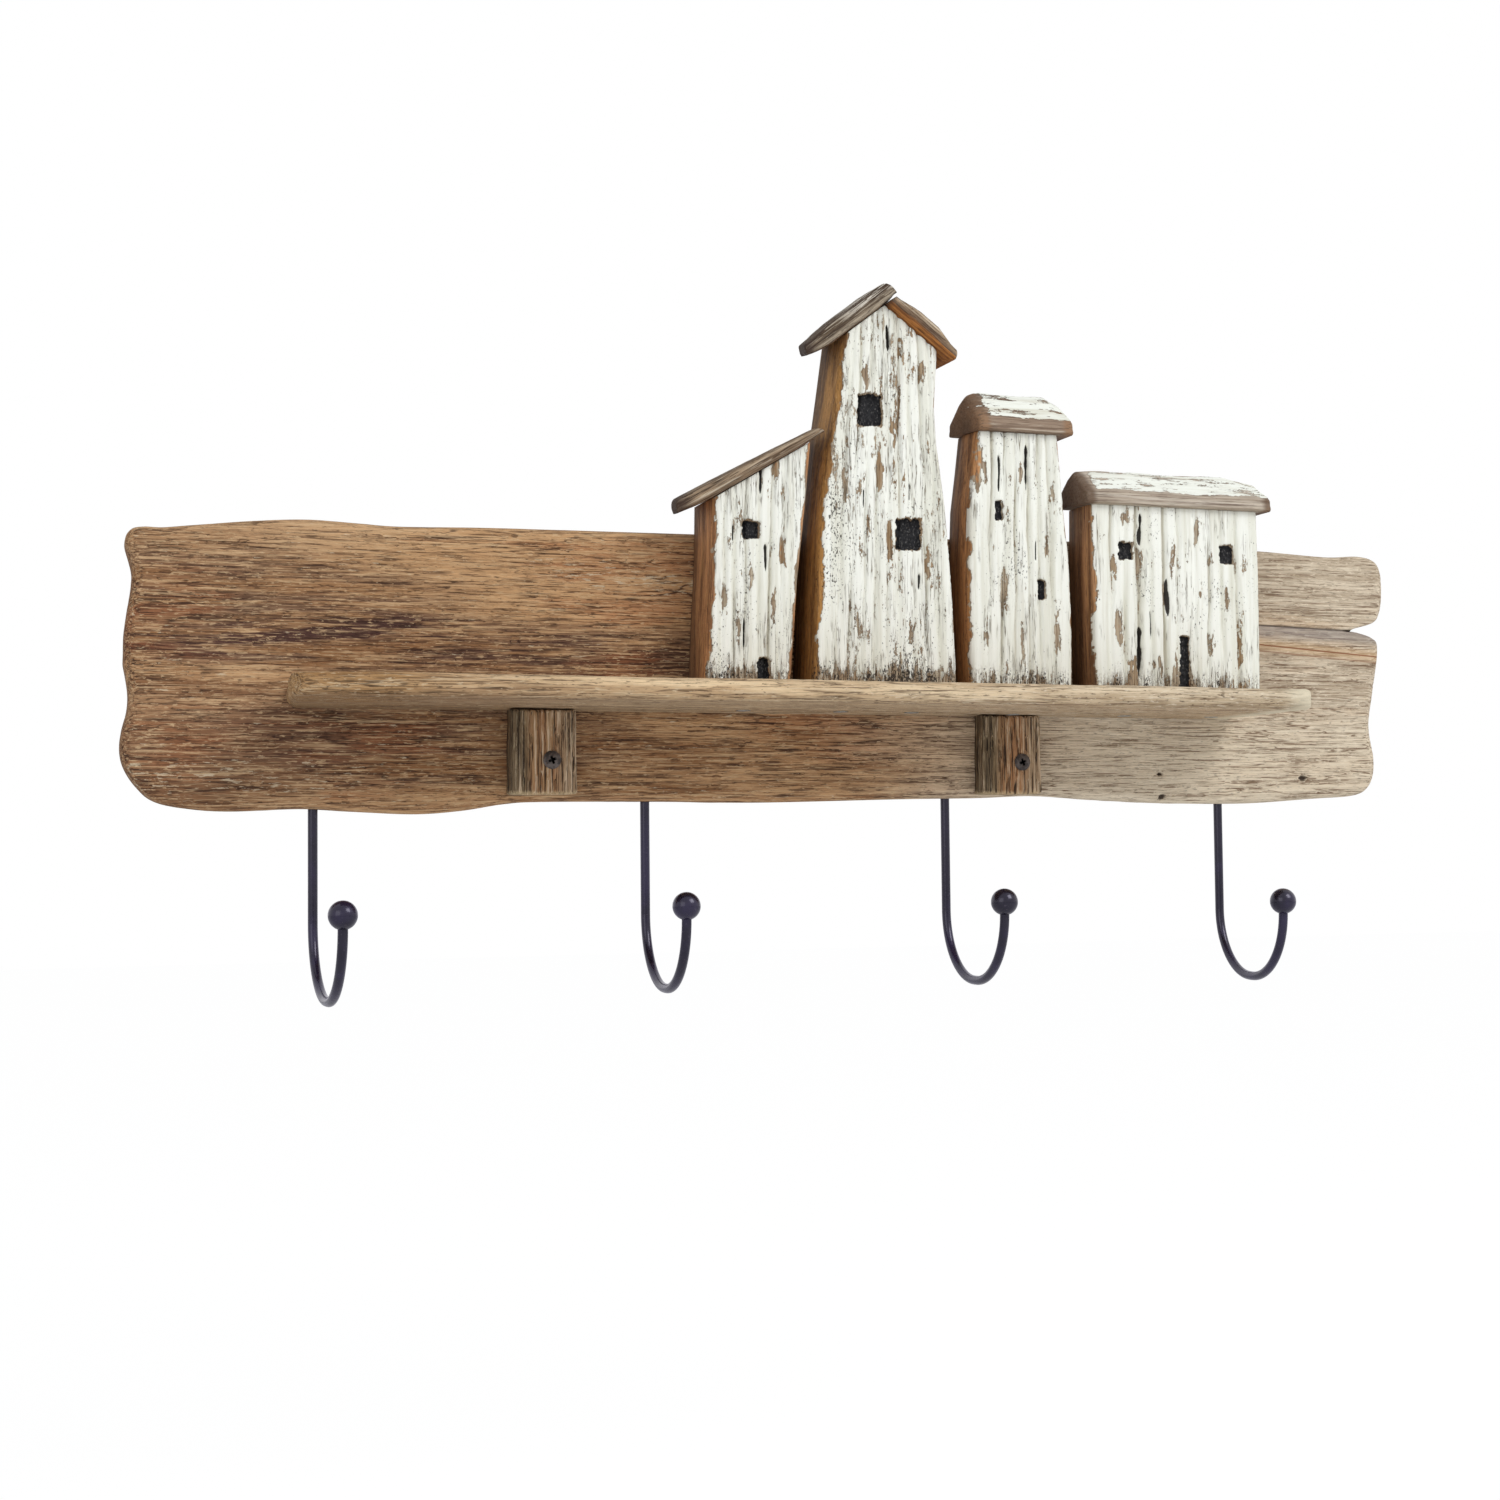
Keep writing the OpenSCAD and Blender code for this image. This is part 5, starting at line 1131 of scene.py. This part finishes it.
def make_gabled_roof(plan):
    """Gabled roof: a section of two slopes over a straight front edge, carried along the house.

    Its height drops towards both ends, its corners are softened by averaging along the section, and
    its left end is sawn askew. Field paint is above 0 where the paint holds."""
    x0, x1 = plan["ends"]
    length, deep, skew, bare, seed = x1 - x0, plan["deep"], plan["skew"], plan["bare"], plan["seed"]
    u = edge_steps(length, LOAF_WEAR, 0.6, 7)
    stations = (u * length)[:, None]
    drop = np.interp(u, [0, 0.1, 0.8, 1], [plan["hips"][0], 0, 0, plan["hips"][1]])
    h = (plan["high"] + 0.25 * np.sin(u * 10)) * (1 - drop)
    f = np.minimum(LOAF_EDGE + 0.3 * np.sin(u * 8), h * 0.6)
    ridge = -deep * 0.47
    none = np.zeros(len(u))
    outline = [(-0.4, none), (-0.4, f), (ridge + 4.5, h - 2.4), (ridge, h + 0.7), (ridge - 5, h - 2.6),
               (2.0 - deep, f + 0.9), (0.4 - deep, f - 0.6), (0.4 - deep, none + 0.8), (1.2 - deep, none)]
    closed = np.stack([np.stack([none + y, z]) for y, z in outline + outline[:1]])
    share = np.linspace(0, 1, 150, endpoint=False)
    run = np.linalg.norm(np.diff(closed[:, :, len(u) // 2], axis=0), axis=1)
    at = np.concatenate([[0], np.cumsum(run)]) / run.sum()
    k = np.clip(np.searchsorted(at, share, "right") - 1, 0, len(run) - 1)
    mixed = ((share - at[k]) / (at[k + 1] - at[k]))[:, None, None]
    section = closed[k] * (1 - mixed) + closed[k + 1] * mixed
    for _ in range(3):
        section = 0.5 * section + 0.25 * (np.roll(section, 1, 0) + np.roll(section, -1, 0))
    y, z = section[:, 0, :].T, section[:, 1, :].T
    nearer_end = np.minimum(stations, length - stations)
    close = 0.80 + 0.20 * worn(nearer_end, LOAF_WEAR)
    y = (y + deep / 2) * (0.4 + 0.6 * close) - deep / 2
    z = z * close
    x = x0 + stations - skew * (1 - u)[:, None] * y / deep
    top = rise(z, 1.0, 3.0)
    # paint holds where this level is above 0: not on the front edge, the left end, the ridge or the back
    level = 0.28 + 0.72 * clouds(x / 13, y / 1.9, z / 2.6, seed=seed, layers=3, gain=0.6)
    wander = 0.5 * cloud(x / 5, 0, seed=seed + 1) + 0.35 * cloud(x / 1.7, 3, seed=seed + 2)
    level = level - 2.5 * (1 - rise(z - f[:, None] - 0.6 - wander, -0.5, 0.5))
    left_line = -bare - 2.5 * cloud(z / 3, y / 8, seed=seed + 3) - 1
    level = level - 0.9 * rise(x0 + skew * 0.6 - x, left_line, 1 - bare)
    level = level - 0.5 * np.exp(-((y - ridge + 0.4) / 1.6) ** 2) * (cloud(x / 9, 0, seed=seed + 4) + 0.4)
    level = level - 1.0 * rise(y, -2.0, 0.0)
    missing = 0.35 * (1 - rise(level, -0.05, 0.06)) * top
    grain = (0.16 * (clouds(x / 30, y / 1.5, z / 1.5, seed=seed + 5, layers=3, gain=0.6) + 0.7)
             + 0.22 * (clouds(x / 14, y / 8, z / 6, seed=seed + 6, layers=2) + 0.7))
    depth = (grain + missing) * top
    outward_y, outward_z = y + deep / 2, z - 5.0
    size = np.hypot(outward_y, outward_z) + 1e-6
    y = np.minimum(y - depth * outward_y / size, -0.05)
    z = np.maximum(z - depth * outward_z / size, 0.0)
    points = np.stack([x, FACE_Y + y, plan["base"] + z], -1).reshape(-1, 3)
    ends = np.broadcast_to(1 - rise(nearer_end - skew * 0.5, 1.0, 5.0), y.shape)
    return points, *loft_faces(np.stack([y, z], -1)), {"paint": level, "ends": ends}


def painted_roof_finish(name, seed, low, high):
    """Off-white paint, chipped along the grain, over brown-grey wood that is bare at the edge and ends."""
    f = Finish(name, Roughness=0.7, Specular_IOR_Level=0.28)
    n = wood_noise(f, 0, 0.7, seed=seed)
    wood = f.layers(
        tint(*low), n, ("band", 0.40, 0.60, 1.0, tint(*high)), ("streak", 0.52, 0.62, 0.75, tint(88, 68, 52)),
        ("streak", 0.45, 0.37, 0.5, tint(214, 202, 182)), ("fibre", 0.56, 0.65, 0.5, tint(70, 54, 42)))
    ends = f.layers(tint(146, 112, 82), n, ("patch", 0.4, 0.6, 1.0, tint(96, 74, 56)),
                    ("fleck", 0.46, 0.36, 0.7, tint(60, 46, 36)))
    wood = f.mix(wood, ends, f.field("ends") * 0.85)
    white = f.layers(tint(238, 240, 230), n, ("band", 0.46, 0.68, 1.0, tint(216, 214, 198)),
                     ("streak", 0.56, 0.72, 0.6, tint(192, 184, 164)))
    edge, lip_shadow, fine = chips(f, f.field("paint") * 0.8, (70, 430, 430), 1.9, (620, 1500, 1500), 0.9, seed)
    colour = f.mix(wood, white, edge)
    # painted shadow: a dark line along the broken edge of the paint
    colour = f.mix(colour, tint(92, 74, 58), lip_shadow * fine.step(0.4, 0.6) * 0.7)
    speck = f.noise((900, 1150, 1150), 3.0, 0.6, seed + 16)
    colour = f.mix(colour, tint(66, 54, 44), speck.step(0.7, 0.74) * 0.85)
    height = edge * 0.45 + n["streak"] * 0.3 + n["fibre"] * 0.2
    return f.use(colour, None, height, 0.0007, 0.9)


GABLED_ROOFS = {
    "narrow_roof": dict(
        ends=(70.5, 127.5), base=SHELF_TOP + NARROW_TOP + GLUE, deep=HOUSES["narrow_house"]["depth"] + OVERHANG,
        high=20.5, hips=(0.1, 0.25), skew=6.0, seed=600, bare=7.0, wood=((102, 82, 67), (145, 124, 105))),
    "low_roof": dict(
        ends=(130.5, 239.5), base=SHELF_TOP + LOW_TOP + GLUE, deep=HOUSES["low_house"]["depth"] + OVERHANG,
        high=18.5, hips=(0.05, 0.2), skew=3.5, seed=640, bare=7.0, wood=((165, 150, 133), (200, 189, 174))),
}
for name, plan in GABLED_ROOFS.items():
    finish = painted_roof_finish(name + "_paint", plan["seed"] / 9.0, *plan["wood"])
    place(solid(name + "_gable", *make_gabled_roof(plan)), finish, name)

# Hooks: black iron rods, bent into a J and driven up into the board, each with an iron ball on its
# tip. They are finished in satin black with a blue-violet cast, a little rubbed on the bends.


def iron_finish():
    """Satin black paint on iron, uneven in gloss."""
    f = Finish("black_iron", Metallic=0.0, Specular_IOR_Level=0.36, Coat_Weight=0.35, Coat_Roughness=0.12,
               Specular_Tint=(0.80, 0.76, 1.0, 1.0), Coat_Tint=(0.86, 0.82, 1.0, 1.0))
    cloudy = f.noise((60, 60, 40), 3.0, 0.6, 2.0)
    grit = f.noise((900, 900, 900), 2.0, 0.6, 5.0)
    colour = f.mix(tint(14, 10, 24), tint(34, 28, 52), cloudy.step(0.4, 0.65))
    colour = f.mix(colour, tint(96, 88, 98), grit.step(0.64, 0.76) * 0.4)
    return f.use(colour, 0.26 + (cloudy - 0.5) * 0.2 + (grit - 0.5) * 0.12, grit, 0.0001, 0.5)


def dress(material, *names):
    """Gives a finish to solids that keep their own shape."""
    for name in names:
        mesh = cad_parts[name].data
        mesh.materials.clear()
        mesh.materials.append(material)


iron = iron_finish()
dress(iron, *("hook_rod_%d" % k for k in range(1, 5)), *("hook_ball_%d" % k for k in range(1, 5)))


# Screws and hanging plates: the blocks' screws are dark with rust, the ones from behind and below
# are dull zinc, and so are the two keyhole plates that hang the board on the wall.
RECESS_SHADE_FROM = -(BLOCK_T - FACE_Y - 0.1) / MM  # behind this depth a block screw's recess is painted near black, as shade


def metal_finish(name, low, high, rust, rough, shade_from=None):
    """Dull screw metal with a cloudy tarnish and rust spots, and painted shade, near black, in a recess behind a
    depth.
    """
    f = Finish(name, Metallic=0.75, Specular_IOR_Level=0.5)
    cloudy = f.noise((300, 300, 300), 3.0, 0.6, 3.0)
    spots = f.noise((900, 900, 900), 2.0, 0.6, 8.0)
    colour = f.mix(tint(*low), tint(*high), cloudy.step(0.4, 0.62))
    colour = f.mix(colour, tint(*rust), spots.step(0.6, 0.72) * 0.6)
    if shade_from is not None:
        # painted shade: near black inside the recess
        colour = f.mix(colour, tint(14, 12, 11), f.axis("Y").step(shade_from, shade_from + 0.0003))
    return f.use(colour, rough + (cloudy - 0.5) * 0.25, spots, 0.0001, 0.5)


dark_steel = metal_finish("dark_screw", (62, 56, 54), (100, 92, 88), (98, 66, 44), 0.45, RECESS_SHADE_FROM)
zinc = metal_finish("zinc", (150, 150, 146), (182, 182, 178), (128, 116, 100), 0.42)
dress(dark_steel, "bracket_screw_left", "bracket_screw_right")
dress(zinc, "keyhole_plate_left", "keyhole_plate_right", *("plate_screw_%d" % k for k in range(1, 5)),
      *("shelf_screw_%d" % k for k in range(1, 4)), *("house_screw_%d" % k for k in range(1, 7)))

# Floor, light and camera: a pale floor well below, a white surround, a large soft lamp from the front
# and right, a weaker one from the left, and the camera a little low and to the left of the board.


def floor_finish():
    """Pale matt floor that the camera sees as white where no shadow falls."""
    f = Finish("pale_floor", Roughness=0.9)
    cloudy = f.noise((3, 3, 3), 2.0, 0.5)
    f.use(f.mix(tint(246, 246, 246), tint(250, 250, 250), cloudy))
    glow = f.add("ShaderNodeEmission", {}, {"Color": (1, 1, 1, 1), "Strength": 1.02})
    sight = f.add("ShaderNodeLightPath", {}, {}, "Is Camera Ray")
    shown = f.add("ShaderNodeMixShader", {}, {0: sight * 0.94, 1: Value(f, f.shader.outputs[0]), 2: glow})
    output = next(n for n in f.tree.nodes if n.type == "OUTPUT_MATERIAL")
    f.tree.links.new(shown.socket, output.inputs["Surface"])
    return f.material


FLOOR_Z, FLOOR_HALF = -420, 6000
corners = [[x * FLOOR_HALF, y * FLOOR_HALF, FLOOR_Z] for x, y in ((-1, -1), (1, -1), (1, 1), (-1, 1))]
floor = solid("floor", corners, [[0, 1, 2, 3]], smooth=False)
floor.data.materials.append(floor_finish())


def soft_lamp(name, spot, size, watts):
    """Square area lamp at a spot in metres, turned towards the middle of the board."""
    lamp = bpy.data.lights.new(name, "AREA")
    lamp.shape, lamp.size, lamp.energy = "SQUARE", size, watts
    thing = bpy.data.objects.new(name, lamp)
    thing.location = spot
    thing.rotation_euler = (-Vector(spot)).to_track_quat("-Z", "Y").to_euler()
    bpy.context.scene.collection.objects.link(thing)


soft_lamp("key_lamp", (1.1, -1.6, 1.5), 1.2, 27)
soft_lamp("fill_lamp", (-1.8, -1.5, 0.6), 1.4, 8)

# the surround is white where it is seen or mirrored, and grey where it only lights the part
world = bpy.data.worlds.new("surround")
bpy.context.scene.world = world
world.use_nodes = True
world.node_tree.nodes.clear()
sky = Nodes(world.node_tree)
camera_ray, glossy_ray, clear_ray = (
    sky.add("ShaderNodeLightPath", {}, {}, "Is %s Ray" % kind) for kind in ("Camera", "Glossy", "Transmission"))
seen = camera_ray.math("MAXIMUM", glossy_ray).math("MAXIMUM", clear_ray)
light = sky.mix((0.56, 0.57, 0.59, 1), (1, 1, 1, 1), seen)
surround = sky.add("ShaderNodeBackground", {}, {"Color": light})
sky.add("ShaderNodeOutputWorld", {}, {"Surface": surround})

# camera: found from the photograph, its place in metres, its focal length and picture width in pixels
CAMERA_PLACE = (-0.38207, -0.99819, -0.08492)
YAW, PITCH, ROLL = math.radians(19.49), math.radians(2.67), math.radians(-0.57)
FOCAL, FRAME, SENSOR = 2176.6, 1500, 36.0
forward = np.array([math.sin(YAW) * math.cos(PITCH), math.cos(YAW) * math.cos(PITCH), math.sin(PITCH)])
level = np.array([math.cos(YAW), -math.sin(YAW), 0.0])
above = np.cross(level, forward)
right_way = level * math.cos(ROLL) + above * math.sin(ROLL)
up_way = -level * math.sin(ROLL) + above * math.cos(ROLL)
lens = bpy.data.cameras.new("camera")
lens.sensor_fit, lens.sensor_width, lens.lens = "HORIZONTAL", SENSOR, FOCAL / FRAME * SENSOR
camera = bpy.data.objects.new("camera", lens)
turned = Matrix(np.stack([right_way, up_way, -forward], 1).tolist()).to_4x4()
camera.matrix_world = Matrix.Translation(CAMERA_PLACE) @ turned
bpy.context.scene.collection.objects.link(camera)
bpy.context.scene.camera = camera
bpy.context.scene.view_settings.view_transform = "Standard"
